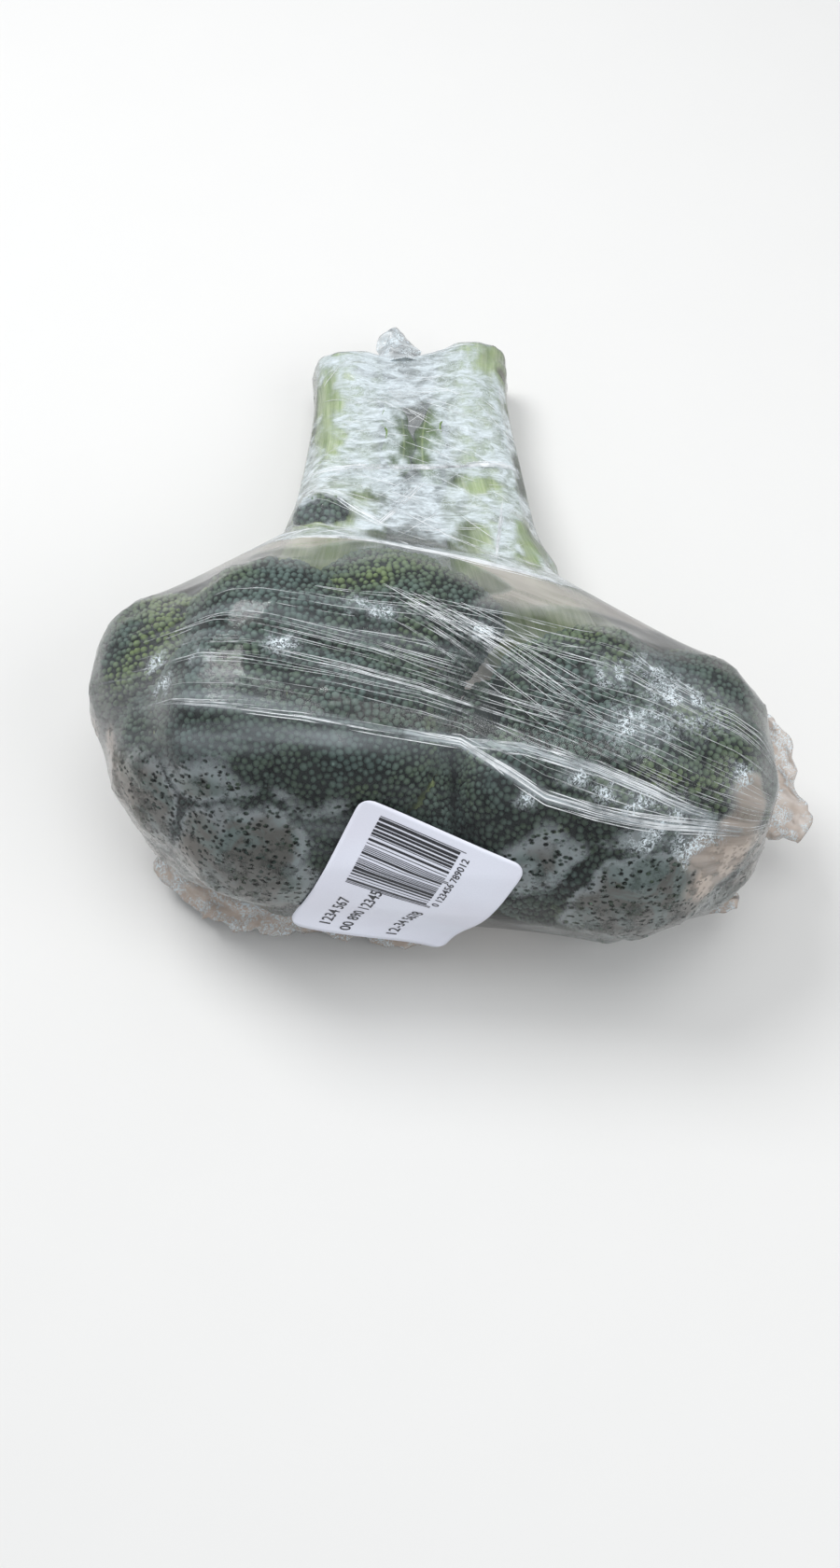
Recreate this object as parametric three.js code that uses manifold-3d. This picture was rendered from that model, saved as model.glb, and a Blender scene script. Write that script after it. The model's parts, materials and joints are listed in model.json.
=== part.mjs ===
// Two broccoli heads lying side by side, wrapped together in stretch film, with a price label.
//
// Millimetres, +Z up. The crowns point towards -Y and the cut stalk ends towards +Y, and the pack rests
// on the plane z = 0. The group is shifted at the end so that its origin is the middle of its footprint.
//
// Each head is a stalk and a ring of florets. A floret is a rounded flower head on its own branch, and
// meets its neighbours at the plane halfway between them. The film is stretched tight, so it takes the
// convex hull of what it wraps: one hull over the crowns down to the neck, one along the stalks.

import * as THREE from "three";
import { ConvexGeometry } from "three/addons/geometries/ConvexGeometry.js";
import { mergeVertices } from "three/addons/utils/BufferGeometryUtils.js";
import Module from "manifold-3d";

const wasm = await Module();
wasm.setup();

// ---- Driving dimensions ----------------------------------------------------------------------------

const GAP = 0.3; // between any two pieces that touch
const FILM_WALL = 0.8; // several turns of thin film, drawn thick enough to be a solid
const REST_FLAT = 3.6; // how far a crown's round underside is flattened where it rests
const STALK_FLAT = 0.4; // and a stalk's, under its cut end

const LEFT = {
  name: "left",
  crown: { x: -52, y: -36, width: 106, depth: 126, height: 107, turn: 46 },
  stalk: { endX: -36.5, endY: 132, endRadius: 14.5, topRadius: 19, neckX: -38 },
  yaw: -4, // degrees that the dome points away from -Y, about +Z
  rings: [
    { count: 1, polar: 0, turn: 0, radius: 30 },
    { count: 6, polar: 56, turn: 12, radius: 30 },
    { count: 5, polar: 108, turn: 12, radius: 28 },
  ],
  shoulder: { from: [28, 22.5, 16], radius: 27 }, // from the crown's middle to a floret that leans back
  seed: 3,
};

const RIGHT = {
  name: "right",
  crown: { x: 47, y: -52, width: 104, depth: 96, height: 101, turn: 0 },
  stalk: { endX: 9, endY: 137, endRadius: 14.5, topRadius: 19, neckX: 17 },
  yaw: 8,
  rings: [
    { count: 1, polar: 0, turn: 0, radius: 29 },
    { count: 6, polar: 60, turn: 30, radius: 28 },
    { count: 5, polar: 106, turn: 8, radius: 26 },
  ],
  shoulder: null,
  seed: 8,
};

const DOME_TILT = 12; // degrees that the domes point upwards, because the stalk ends lie low
const LOBE_REACH = 1.02; // share of the crown's size that a floret's outer face reaches
const LOBE_BUMP = 0.07; // share of its radius that a floret's surface rises and falls

const NECK_Y = 32; // where the film closes round the stalks behind the crowns
const NECK_SKEW = -0.16; // how far the neck's film runs forward for each millimetre to the right
const BRANCH = { inner: 6, outer: 9.5 }; // radii of a floret's own branch

// A stray floret on the left stalk: how far along it sits, and how far out from the stalk's own middle.
const SIDE_FLORET = { y: 44, across: -4, above: 12.5, radius: 9, rootY: 62 };

const LEAF = { length: 44, width: 20, thickness: 1.4, startY: 64 };

const LABEL = {
  width: 50, // both sizes are measured square on, before the label wraps over the film's curve
  length: 56,
  thickness: 0.35,
  corner: 4,
  from: [-12.3, -52.9, 11.3], // from halfway between the crowns' middles to the label's middle
  looks: [-0.02, -0.86, 0.5], // the way that the middle of the label looks
  turn: -24, // degrees that its top edge slopes down to the right
};

const GATHER = { outer: 6.5, inner: 4.5, length: 22 }; // the twisted end of the film, left open

const TAIL_THICKNESS = 0.9;
const TAIL_ROOT = 9; // how far a loose corner starts inside the wall
const TAILS = [
  { head: RIGHT, way: [0.97, -0.19, -0.12], length: 11, width: 28 }, // beside the right crown
  { head: RIGHT, way: [0.82, -0.42, -0.38], length: 6, width: 24 }, // under its front corner
  { head: LEFT, way: [-0.52, -0.72, -0.46], length: 8, width: 48 }, // under the left crown's front
];

const COLOURS = {
  buds: 0x4b6355,
  stalk: 0xa9bf7c,
  leaf: 0x7d9c4d,
  film: 0xd8d2cb,
  label: 0xdfe0ee,
};

// ---- Solids ----------------------------------------------------------------------------------------

/** A closed three.js geometry as a manifold solid, once its shared vertices are merged. */
function solid(geometry, matrix = new THREE.Matrix4()) {
  const bare = new THREE.BufferGeometry();
  const source = geometry.index ? geometry.toNonIndexed() : geometry;
  bare.setAttribute("position", source.getAttribute("position").clone());
  bare.applyMatrix4(matrix);
  const merged = mergeVertices(bare, 1e-4);
  return new wasm.Manifold(
    new wasm.Mesh({
      numProp: 3,
      vertProperties: merged.attributes.position.array,
      triVerts: new Uint32Array(merged.index.array),
    }),
  );
}

/** A manifold solid as a three.js geometry with flat facets. */
function geometryOf(made) {
  const mesh = made.getMesh();
  const geometry = new THREE.BufferGeometry();
  const positions = new Float32Array(mesh.numVert * 3);
  for (let i = 0; i < mesh.numVert; i++) {
    const from = i * mesh.numProp;
    positions.set(mesh.vertProperties.subarray(from, from + 3), i * 3);
  }
  geometry.setAttribute("position", new THREE.BufferAttribute(positions, 3));
  geometry.setIndex(new THREE.BufferAttribute(mesh.triVerts, 1));
  geometry.computeVertexNormals();
  return geometry;
}

/** The largest of a solid's separate bodies: a cut can leave a sliver beside it. */
function largest(made) {
  return made.decompose().reduce((a, b) => (b.volume() > a.volume() ? b : a));
}

function moved(position, quaternion = new THREE.Quaternion(), scale = new THREE.Vector3(1, 1, 1)) {
  return new THREE.Matrix4().compose(position, quaternion, scale);
}

function turning(from, to) {
  return new THREE.Quaternion().setFromUnitVectors(from, to.clone().normalize());
}

/** A frame at some point whose Y looks one way, with its Z as near as it can be to another. */
function facing(position, way, upwards) {
  const y = way.clone().normalize();
  const x = new THREE.Vector3().crossVectors(y, upwards).normalize();
  const z = new THREE.Vector3().crossVectors(x, y);
  return new THREE.Matrix4().makeBasis(x, y, z).setPosition(position);
}

/** An outline drawn out to some thickness, as a geometry. */
function extruded(outline, depth, curveSegments) {
  return new THREE.ExtrudeGeometry(outline, { depth, bevelEnabled: false, curveSegments });
}

const Y = new THREE.Vector3(0, 1, 0);
const Z = new THREE.Vector3(0, 0, 1);
const vector = (point) => new THREE.Vector3(...point);
const radians = THREE.MathUtils.degToRad;

// ---- A head's layout -------------------------------------------------------------------------------

/** The way a head's dome looks: towards -Y, turned by its yaw and tilted up. */
function domeAxis(head) {
  const yaw = radians(head.yaw);
  const tilt = radians(DOME_TILT);
  return new THREE.Vector3(Math.sin(yaw), -Math.cos(yaw) * Math.cos(tilt), Math.sin(tilt)).normalize();
}

/** The middle of a head's crown, at the height where the film under it is pressed flat. */
function crownMiddle(head) {
  const { x, y, height } = head.crown;
  return new THREE.Vector3(x, y, height / 2 + FILM_OUT - REST_FLAT);
}

/** How far a head's crown reaches from its middle, some way. */
function crownReach(head, way) {
  const { width, depth, height, turn } = head.crown;
  const half = new THREE.Vector3(width / 2, depth / 2, height / 2);
  return 1 / way.clone().applyAxisAngle(Z, -radians(turn)).divide(half).length();
}

const JUNCTION_BEHIND = 25; // from a crown's middle back to where its stalk and branches meet

function junction(head) {
  return crownMiddle(head).addScaledVector(domeAxis(head), -JUNCTION_BEHIND);
}

/** The middle of a stalk's cut end. */
function stalkEnd(head) {
  const { endX, endY, endRadius } = head.stalk;
  return new THREE.Vector3(endX, endY, endRadius + FILM_OUT - STALK_FLAT);
}

/** The middle of a stalk at some distance along it. */
function stalkMiddle(head, y) {
  const { endX, endY, neckX } = head.stalk;
  const x = THREE.MathUtils.mapLinear(y, endY, NECK_Y, endX, neckX);
  const z = THREE.MathUtils.mapLinear(y, endY, junction(head).y, stalkEnd(head).z, junction(head).z);
  return new THREE.Vector3(x, y, z);
}

/** The middle and radius of every floret of a head, ring by ring from the tip of the dome. */
function lobesOf(head) {
  const axis = domeAxis(head);
  const side = new THREE.Vector3().crossVectors(axis, Z).normalize();
  const up = new THREE.Vector3().crossVectors(side, axis);
  const lobes = [];
  for (const ring of head.rings) {
    for (let i = 0; i < ring.count; i++) {
      const round = radians(ring.turn + (360 * i) / ring.count);
      const polar = radians(ring.polar);
      const way = axis
        .clone()
        .multiplyScalar(Math.cos(polar))
        .addScaledVector(side, Math.sin(polar) * Math.cos(round))
        .addScaledVector(up, Math.sin(polar) * Math.sin(round));
      const reach = LOBE_REACH * crownReach(head, way);
      const centre = crownMiddle(head).addScaledVector(way, reach - ring.radius);
      lobes.push({ centre, radius: ring.radius, seed: head.seed + lobes.length });
    }
  }
  if (head.shoulder) {
    lobes.push({ ...shoulderBall(head), seed: head.seed + lobes.length });
  }
  return lobes;
}

function shoulderBall(head) {
  return { centre: crownMiddle(head).add(vector(head.shoulder.from)), radius: head.shoulder.radius };
}

/** The stray floret's ball, and where its branch leaves the stalk. */
function strayBall() {
  const { y, across, above, radius, rootY } = SIDE_FLORET;
  const centre = stalkMiddle(LEFT, y).add(new THREE.Vector3(across, 0, above));
  return { centre, radius, seed: LEFT.seed, root: stalkMiddle(LEFT, rootY) };
}

// ---- Film ------------------------------------------------------------------------------------------

/** Points on the ellipsoid that holds a crown, grown by some clearance. */
function crownPoints(head, grow) {
  const { width, depth, height, turn } = head.crown;
  const size = new THREE.Vector3(width / 2 + grow, depth / 2 + grow, height / 2 + grow);
  const turned = new THREE.Quaternion().setFromAxisAngle(Z, radians(turn));
  return pointsOf(new THREE.SphereGeometry(1, 22, 12).applyMatrix4(moved(crownMiddle(head), turned, size)));
}

/** Points on a ball-shaped floret, grown by some clearance. */
function ballPoints({ centre, radius }, grow) {
  const ball = new THREE.SphereGeometry(radius + grow, 12, 8);
  return pointsOf(ball.applyMatrix4(moved(centre)));
}

/** Points on the circle that holds a stalk at one distance along it, grown by some clearance. */
function stalkPoints(head, y, grow, flare = 1) {
  const { endY, endRadius, topRadius } = head.stalk;
  const share = (endY - y) / (endY - NECK_Y);
  const radius = THREE.MathUtils.lerp(endRadius, topRadius, share) * flare + grow;
  const middle = stalkMiddle(head, y);
  const between = (LEFT.stalk.neckX + RIGHT.stalk.neckX) / 2;
  const circle = [];
  for (let i = 0; i < 14; i++) {
    const a = (2 * Math.PI * i) / 14;
    const x = middle.x + radius * Math.cos(a);
    const skew = share * NECK_SKEW * (x - between);
    circle.push(new THREE.Vector3(x, y + skew, middle.z + radius * Math.sin(a)));
  }
  return circle;
}

function pointsOf(geometry) {
  const at = geometry.getAttribute("position");
  return Array.from({ length: at.count }, (_, i) => new THREE.Vector3().fromBufferAttribute(at, i));
}

const NECK_FLARE = 1.1; // the branches leave the stalk here, so the film stands off it
const END_ROUND = 2.5; // the film rounds the rim of a cut end

/** What the film encloses, as one solid, grown outwards by some clearance. */
function filmForm(grow) {
  const heads = [LEFT, RIGHT];
  const neck = heads.flatMap((h) => stalkPoints(h, NECK_Y, grow, NECK_FLARE));
  const ends = heads.flatMap((h) => [
    ...stalkPoints(h, h.stalk.endY - END_ROUND, grow),
    ...stalkPoints(h, h.stalk.endY + grow, grow - END_ROUND),
  ]);
  const shoulders = heads.filter((h) => h.shoulder).flatMap((h) => ballPoints(shoulderBall(h), grow));
  const stray = ballPoints(strayBall(), grow);
  const round = heads.flatMap((h) => crownPoints(h, grow));
  const crowns = solid(new ConvexGeometry([...round, ...shoulders, ...neck]));
  const stalks = solid(new ConvexGeometry([...neck, ...stray, ...ends]));
  return crowns.add(stalks).subtract(below(-grow));
}

/** Everything under a level plane, measured from where the outside of the film rests. */
function below(height) {
  const slab = new THREE.BoxGeometry(600, 600, 100);
  return solid(slab, moved(new THREE.Vector3(0, 0, FILM_OUT + height - 50)));
}

const FILM_OUT = GAP + FILM_WALL; // from what is wrapped to the outside of the film

/** A loose corner of film: a thin tongue that starts inside the pack and reaches out past the wall. */
function tailSolid({ head, way, length, width }) {
  const half = width / 2;
  const outline = new THREE.Shape();
  outline.moveTo(-half, -TAIL_ROOT);
  outline.lineTo(half, -TAIL_ROOT);
  outline.quadraticCurveTo(half * 0.95, length * 0.75, half * 0.1, length);
  outline.quadraticCurveTo(-half * 0.5, length * 0.7, -half, -TAIL_ROOT);
  const out = vector(way).normalize();
  const at = crownMiddle(head).addScaledVector(out, crownReach(head, out) + FILM_OUT);
  const level = new THREE.Vector3(out.x, out.y, 0);
  return solid(extruded(outline, TAIL_THICKNESS, 5), facing(at, level, Z));
}

/** The film: a shell round everything, its loose corners, and its twisted open end. */
function filmSolid() {
  const place = moved(stalkEnd(LEFT).lerp(stalkEnd(RIGHT), 0.5));
  const twist = solid(new THREE.CylinderGeometry(GATHER.outer, GATHER.outer, GATHER.length, 16), place);
  const bore = solid(new THREE.CylinderGeometry(GATHER.inner, GATHER.inner, GATHER.length + 10, 16), place);
  const tails = TAILS.map(tailSolid);
  const outside = tails.reduce((all, one) => all.add(one), filmForm(FILM_OUT)).add(twist);
  return outside.subtract(filmForm(GAP)).subtract(bore);
}

// ---- Pieces ----------------------------------------------------------------------------------------

/** A stalk from its cut end to the junction, ribbed along its length. */
function stalkSolid(head, grow = 0) {
  const endRadius = head.stalk.endRadius + grow;
  const topRadius = head.stalk.topRadius + grow;
  const start = stalkEnd(head);
  const top = junction(head);
  const length = start.distanceTo(top);
  const profile = [
    [0, 0],
    [endRadius - 1.2, 0],
    [endRadius, 1.4],
    [endRadius * 0.98, length * 0.16],
    [endRadius * 0.97, length * 0.3],
    [endRadius * 1.02, length * 0.44],
    [endRadius * 1.12, length * 0.57],
    [topRadius, length * 0.7],
    [topRadius * 1.02, length * 0.82],
    [topRadius * 0.75, length * 0.94],
    [0, length],
  ].map(([r, h]) => new THREE.Vector2(r, h));
  const lathe = new THREE.LatheGeometry(profile, 20);
  const at = lathe.getAttribute("position");
  const straight = THREE.MathUtils.mapLinear(NECK_Y, start.y, top.y, start.x, top.x);
  const lean = head.stalk.neckX - straight;
  for (let i = 0; i < at.count; i++) {
    const round = Math.atan2(at.getZ(i), at.getX(i));
    const rib = 1 + 0.035 * Math.sin(5 * round + head.seed) - 0.035;
    const along = at.getY(i) / length;
    const bow = -lean * Math.sin(Math.PI * along);
    at.setXYZ(i, at.getX(i) * rib + bow, at.getY(i), at.getZ(i) * rib);
  }
  return solid(lathe, facing(start, top.clone().sub(start), Z));
}

/** A floret before it meets its neighbours: a bumpy ball on a tapered branch. */
function floretSolid(lobe, root, slender = 1) {
  const ball = new THREE.SphereGeometry(lobe.radius, 16, 10);
  const at = ball.getAttribute("position");
  const point = new THREE.Vector3();
  for (let i = 0; i < at.count; i++) {
    point.fromBufferAttribute(at, i).normalize();
    const wave =
      Math.sin(3.1 * point.x + 1.7 * lobe.seed) +
      Math.sin(3.7 * point.y + 2.3 * lobe.seed) +
      Math.sin(3.3 * point.z + 0.9 * lobe.seed);
    point.multiplyScalar(lobe.radius * (1 + (LOBE_BUMP * wave) / 3));
    at.setXYZ(i, point.x, point.y, point.z);
  }
  const head = solid(ball, moved(lobe.centre));
  const reach = lobe.centre.clone().sub(root);
  const [wide, narrow] = [BRANCH.outer * slender, BRANCH.inner * slender];
  const rod = new THREE.CylinderGeometry(wide, narrow, reach.length(), 10);
  const middle = root.clone().addScaledVector(reach, 0.5);
  return head.add(solid(rod, moved(middle, turning(Y, reach))));
}

/** Trims a floret at the plane between it and every other one, leaving the gap between the two. */
function trimmed(made, lobe, lobes) {
  return lobes.reduce((left, other) => {
    if (other === lobe) return left;
    const apart = other.centre.clone().sub(lobe.centre);
    const distance = apart.length();
    const way = apart.divideScalar(distance);
    const middle = (distance + (lobe.radius ** 2 - other.radius ** 2) / distance) / 2;
    const plane = way.dot(lobe.centre) + middle - GAP / 2;
    return left.trimByPlane(way.clone().negate().toArray(), -plane);
  }, made);
}

/** A small leaf: a layer round the side of its stalk, under a leaf's outline seen from that side. */
function leafSolid(head, side) {
  const { length, width, thickness, startY } = LEAF;
  const outline = new THREE.Shape();
  outline.moveTo(0, 0);
  outline.bezierCurveTo(width * 0.7, length * 0.2, width * 0.6, length * 0.75, 0, length);
  outline.bezierCurveTo(-width * 0.6, length * 0.75, -width * 0.7, length * 0.2, 0, 0);
  const start = stalkMiddle(head, startY);
  const along = stalkMiddle(head, startY + length).sub(start);
  const under = facing(start, along, new THREE.Vector3(side, 0, 0));
  const layer = stalkSolid(head, GAP + thickness).subtract(stalkSolid(head, GAP));
  return largest(layer.intersect(solid(extruded(outline, head.stalk.topRadius * 2, 7), under)));
}

/** The label: the film's own outside, a gap out, under a rounded rectangle that looks along it. */
function labelSolid() {
  const { width, length, thickness, corner, from, looks, turn } = LABEL;
  const [w, l] = [width / 2, length / 2];
  const outline = new THREE.Shape();
  outline.moveTo(-w + corner, -l);
  outline.lineTo(w - corner, -l);
  outline.absarc(w - corner, -l + corner, corner, -Math.PI / 2, 0);
  outline.lineTo(w, l - corner);
  outline.absarc(w - corner, l - corner, corner, 0, Math.PI / 2);
  outline.lineTo(-w + corner, l);
  outline.absarc(-w + corner, l - corner, corner, Math.PI / 2, Math.PI);
  outline.lineTo(-w, -l + corner);
  outline.absarc(-w + corner, -l + corner, corner, Math.PI, 1.5 * Math.PI);
  const reach = length; // the outline is drawn this far both in and out of the label's middle
  const out = vector(looks).normalize();
  const upright = Z.clone().addScaledVector(out, -out.z);
  const centre = crownMiddle(LEFT).lerp(crownMiddle(RIGHT), 0.5).add(vector(from));
  const basis = facing(centre, upright, out);
  basis.multiply(new THREE.Matrix4().makeRotationZ(radians(turn)));
  basis.multiply(new THREE.Matrix4().makeTranslation(0, 0, -reach / 2));
  const prism = extruded(outline, reach, 4);
  const sheet = filmForm(FILM_OUT + GAP + thickness).subtract(filmForm(FILM_OUT + GAP));
  return largest(sheet.intersect(solid(prism, basis)));
}

// ---- Assembly --------------------------------------------------------------------------------------

const broccoliPack = new THREE.Group();

function addPiece(name, made, colour, roughness) {
  const material = new THREE.MeshStandardMaterial({ color: colour, roughness, metalness: 0 });
  const mesh = new THREE.Mesh(geometryOf(made), material);
  mesh.name = name;
  broccoliPack.add(mesh);
}

const inside = filmForm(0);
const heads = [LEFT, RIGHT].map((head) => ({ ...head, lobes: lobesOf(head) }));
const allLobes = heads.flatMap((head) => head.lobes);
const stalkRoom = heads.map((head) => stalkSolid(head, GAP)).reduce((a, b) => a.add(b));
const leaves = heads.map((head) => leafSolid(head, head === heads[0] ? 1 : -1));

for (const [i, head] of heads.entries()) {
  addPiece(`${head.name}_stalk`, largest(stalkSolid(head).intersect(inside)), COLOURS.stalk, 0.55);
  addPiece(`${head.name}_leaf`, largest(leaves[i].intersect(inside)), COLOURS.leaf, 0.6);
  head.lobes.forEach((lobe, n) => {
    const whole = trimmed(floretSolid(lobe, junction(head)), lobe, allLobes);
    const number = String(n + 1).padStart(2, "0");
    addPiece(
      `${head.name}_floret_${number}`,
      largest(whole.subtract(stalkRoom).intersect(inside)),
      COLOURS.buds,
      0.75,
    );
  });
}

const strayWhole = floretSolid(strayBall(), strayBall().root, 0.45);
const stray = largest(strayWhole.subtract(stalkRoom).intersect(inside));
addPiece("left_side_floret", stray, COLOURS.buds, 0.75);
addPiece("stretch_film", largest(filmSolid()), COLOURS.film, 0.15);
addPiece("price_label", labelSolid(), COLOURS.label, 0.6);

const box = new THREE.Box3().setFromObject(broccoliPack);
const middle = box.getCenter(new THREE.Vector3());
broccoliPack.position.set(-middle.x, -middle.y, -box.min.z);

export default broccoliPack;
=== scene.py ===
"""Two broccoli heads wrapped side by side in stretch film, with a price label on the crowns."""

import json
import math

import bpy
import numpy as np
from bpy.props import FloatProperty, FloatVectorProperty, IntProperty, PointerProperty
from mathutils import Matrix, Vector
from mathutils.bvhtree import BVHTree
from mathutils.kdtree import KDTree

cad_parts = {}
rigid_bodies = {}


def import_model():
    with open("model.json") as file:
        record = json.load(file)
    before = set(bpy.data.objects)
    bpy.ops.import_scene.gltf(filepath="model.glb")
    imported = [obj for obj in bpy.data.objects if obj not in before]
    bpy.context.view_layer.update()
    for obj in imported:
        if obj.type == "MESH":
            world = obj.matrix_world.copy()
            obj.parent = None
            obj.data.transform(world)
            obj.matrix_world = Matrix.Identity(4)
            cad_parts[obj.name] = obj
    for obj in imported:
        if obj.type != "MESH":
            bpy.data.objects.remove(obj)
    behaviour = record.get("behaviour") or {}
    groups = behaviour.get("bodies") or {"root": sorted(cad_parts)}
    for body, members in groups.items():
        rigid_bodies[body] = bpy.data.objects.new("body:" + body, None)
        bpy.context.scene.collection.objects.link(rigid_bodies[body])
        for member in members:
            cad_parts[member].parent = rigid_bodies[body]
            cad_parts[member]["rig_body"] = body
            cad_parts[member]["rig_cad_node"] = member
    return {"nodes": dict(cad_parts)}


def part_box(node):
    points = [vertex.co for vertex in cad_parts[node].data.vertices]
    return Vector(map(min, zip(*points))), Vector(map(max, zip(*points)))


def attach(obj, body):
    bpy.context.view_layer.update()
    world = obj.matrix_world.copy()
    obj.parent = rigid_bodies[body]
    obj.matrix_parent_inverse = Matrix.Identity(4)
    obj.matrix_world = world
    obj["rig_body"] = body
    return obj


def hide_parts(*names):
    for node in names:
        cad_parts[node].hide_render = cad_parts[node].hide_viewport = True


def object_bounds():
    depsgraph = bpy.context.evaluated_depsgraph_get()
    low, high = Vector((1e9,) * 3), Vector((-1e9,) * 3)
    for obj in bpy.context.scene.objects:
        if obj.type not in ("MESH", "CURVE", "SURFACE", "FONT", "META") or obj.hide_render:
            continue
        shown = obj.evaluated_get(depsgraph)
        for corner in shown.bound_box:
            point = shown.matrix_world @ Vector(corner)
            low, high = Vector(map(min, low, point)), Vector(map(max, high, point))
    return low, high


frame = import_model()
CAD_LOW, CAD_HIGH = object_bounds()

bl_info = {
    "name": "Wrapped Broccoli",
    "version": (1, 0, 0),
    "blender": (4, 5, 0),
    "location": "View3D > Sidebar > Broccoli",
    "description": "Grows two broccoli heads, wraps them in stretch film and sticks a label on",
    "category": "Add Mesh",
}

HEADS = ("left", "right")
MM = 0.001
MEETING = -0.5 * MM  # the X where the two crowns press on each other
# The crowns spread towards that X fully above the greater height, within the lesser distance of it
# and in front of the lesser Y, and not at all past the other number of each pair.
SPREAD_HEIGHTS = (24 * MM, 66 * MM)
SPREAD_REACH = (4 * MM, 44 * MM)
SPREAD_BACK = (-46 * MM, -29 * MM)
MIDDLE = np.array([4, -34, 72]) * MM  # the left crown's lump that leans over the right head's stalk
MIDDLE_REACH = np.array([60, 26, 26]) * MM
MIDDLE_START = (-30 * MM, 2 * MM)  # the lump leans fully right of the second X, and not left of the first
# Where the buds are opening and yellower: x, y, z and radius in mm.
FRESH = (
    (63, -96, 88, 8), (54, -91, 90, 7), (72, -99, 82, 8), (-44, -27, 90, 8), (-33, -27, 91, 7),
    (-21, -29, 90, 4), (-86, -38, 85, 10), (-94, -50, 78, 9), (66, -68, 88, 8), (78, -84, 78, 8),
    (-78, -30, 80, 9), (50, -60, 92, 7), (62, -63, 90, 7), (73, -67, 85, 7),
)
# The deep gap between the crowns, which stays free of buds: its middle and its half sizes.
CLEFT = np.array([[10, -64, 86], [5.5, 12, 18]]) * MM
made = {}  # what earlier operators grew that later ones wrap: piece name to object


# ---- Arrays and meshes -----------------------------------------------------------------------------


def unit(v):
    """Rows of v at length 1."""
    return v / np.maximum(np.linalg.norm(v, axis=-1, keepdims=True), 1e-12)


def coords(ob):
    """A mesh's vertices, one row each."""
    co = np.empty(len(ob.data.vertices) * 3)
    ob.data.vertices.foreach_get("co", co)
    return co.reshape(-1, 3)


def put_coords(ob, co):
    """Moves a mesh's vertices."""
    ob.data.vertices.foreach_set("co", co.ravel())
    ob.data.update()


def vertex_normals(ob):
    """The way that each vertex faces."""
    no = np.empty(len(ob.data.vertices) * 3, np.float32)
    ob.data.vertex_normals.foreach_get("vector", no)
    return no.reshape(-1, 3).astype(float)


def edges_of(ob):
    """The two vertices of each edge."""
    pairs = np.empty(len(ob.data.edges) * 2, np.int32)
    ob.data.edges.foreach_get("vertices", pairs)
    return pairs.reshape(-1, 2)


def triangles(ob):
    """A mesh's triangles, as three vertex numbers each."""
    ob.data.calc_loop_triangles()
    tris = np.empty(len(ob.data.loop_triangles) * 3, np.int32)
    ob.data.loop_triangles.foreach_get("vertices", tris)
    return tris.reshape(-1, 3)


def averaged(values, pairs, times):
    """A value for each vertex, evened out over its neighbours a number of times."""
    n = len(values)
    count = np.maximum(np.bincount(pairs.ravel(), minlength=n), 1)
    for _ in range(times):
        total = np.bincount(pairs[:, 0], values[pairs[:, 1]], n)
        total += np.bincount(pairs[:, 1], values[pairs[:, 0]], n)
        values = 0.5 * values + 0.5 * total / count
    return values


def step(low, high, x):
    """0 below low, 1 above high, smooth between."""
    t = np.clip((x - low) / (high - low), 0, 1)
    return t * t * (3 - 2 * t)


def ripple(points, size, seed, waves=14):
    """A smooth random field, about -1 to 1, whose hills are about one size apart."""
    rng = np.random.default_rng(seed)
    way = unit(rng.normal(size=(waves, 3)))
    pitch = rng.uniform(0.6, 1.6, waves) * 2 * math.pi / (2 * size)
    phase = rng.uniform(0, 2 * math.pi, waves)
    field = np.sin(points @ (way * pitch[:, None]).T + phase).sum(1)
    return field / math.sqrt(waves / 2) / 1.6


def mesh_object(name, co, loops, sizes):
    """A new object from vertex places, the vertices round each face in turn, and each face's corners."""
    mesh = bpy.data.meshes.new(name)
    mesh.vertices.add(len(co))
    mesh.vertices.foreach_set("co", np.asarray(co, float).ravel())
    mesh.loops.add(len(loops))
    mesh.loops.foreach_set("vertex_index", np.asarray(loops, np.int32))
    starts = (np.cumsum(sizes) - sizes).astype(np.int32)
    mesh.polygons.add(len(sizes))
    mesh.polygons.foreach_set("loop_start", starts)
    mesh.update(calc_edges=True)
    mesh.validate()
    ob = bpy.data.objects.new(name, mesh)
    bpy.context.scene.collection.objects.link(ob)
    shade_smooth(ob)
    return ob


def shade_smooth(ob):
    """Shades every face smooth."""
    ob.data.polygons.foreach_set("use_smooth", np.ones(len(ob.data.polygons), bool))


def set_attribute(ob, name, values):
    """Stores one number, a 3-vector or a colour for each vertex."""
    kinds = {1: ("FLOAT", "value"), 3: ("FLOAT_VECTOR", "vector"), 4: ("FLOAT_COLOR", "color")}
    kind, field = kinds[1 if values.ndim == 1 else values.shape[1]]
    layer = ob.data.attributes.new(name, kind, "POINT")
    layer.data.foreach_set(field, values.astype(np.float32).ravel())


def only(ob):
    """Makes one object the active one, and the only one selected."""
    bpy.ops.object.select_all(action="DESELECT")
    ob.select_set(True)
    bpy.context.view_layer.objects.active = ob


def edit_all(ob, operator, **values):
    """Runs one edit-mode operator on the whole of an object."""
    only(ob)
    bpy.ops.object.mode_set(mode="EDIT")
    bpy.ops.mesh.select_all(action="SELECT")
    operator(**values)
    bpy.ops.object.mode_set(mode="OBJECT")


def grid_faces(rows, columns):
    """The faces between vertices that lie in a grid, row by row."""
    index = np.arange(rows * columns).reshape(rows, columns)
    corners = [index[:-1, :-1], index[:-1, 1:], index[1:, 1:], index[1:, :-1]]
    return np.stack(corners, 2).reshape(-1, 4)


def thicken(ob, thickness, side=0.0):
    """Gives a sheet its thickness: half each way at side 0, or all on its face's side at 1."""
    only(ob)
    wall = ob.modifiers.new("wall", "SOLIDIFY")
    wall.thickness = thickness
    wall.offset = side
    bpy.ops.object.modifier_apply(modifier=wall.name)


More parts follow.
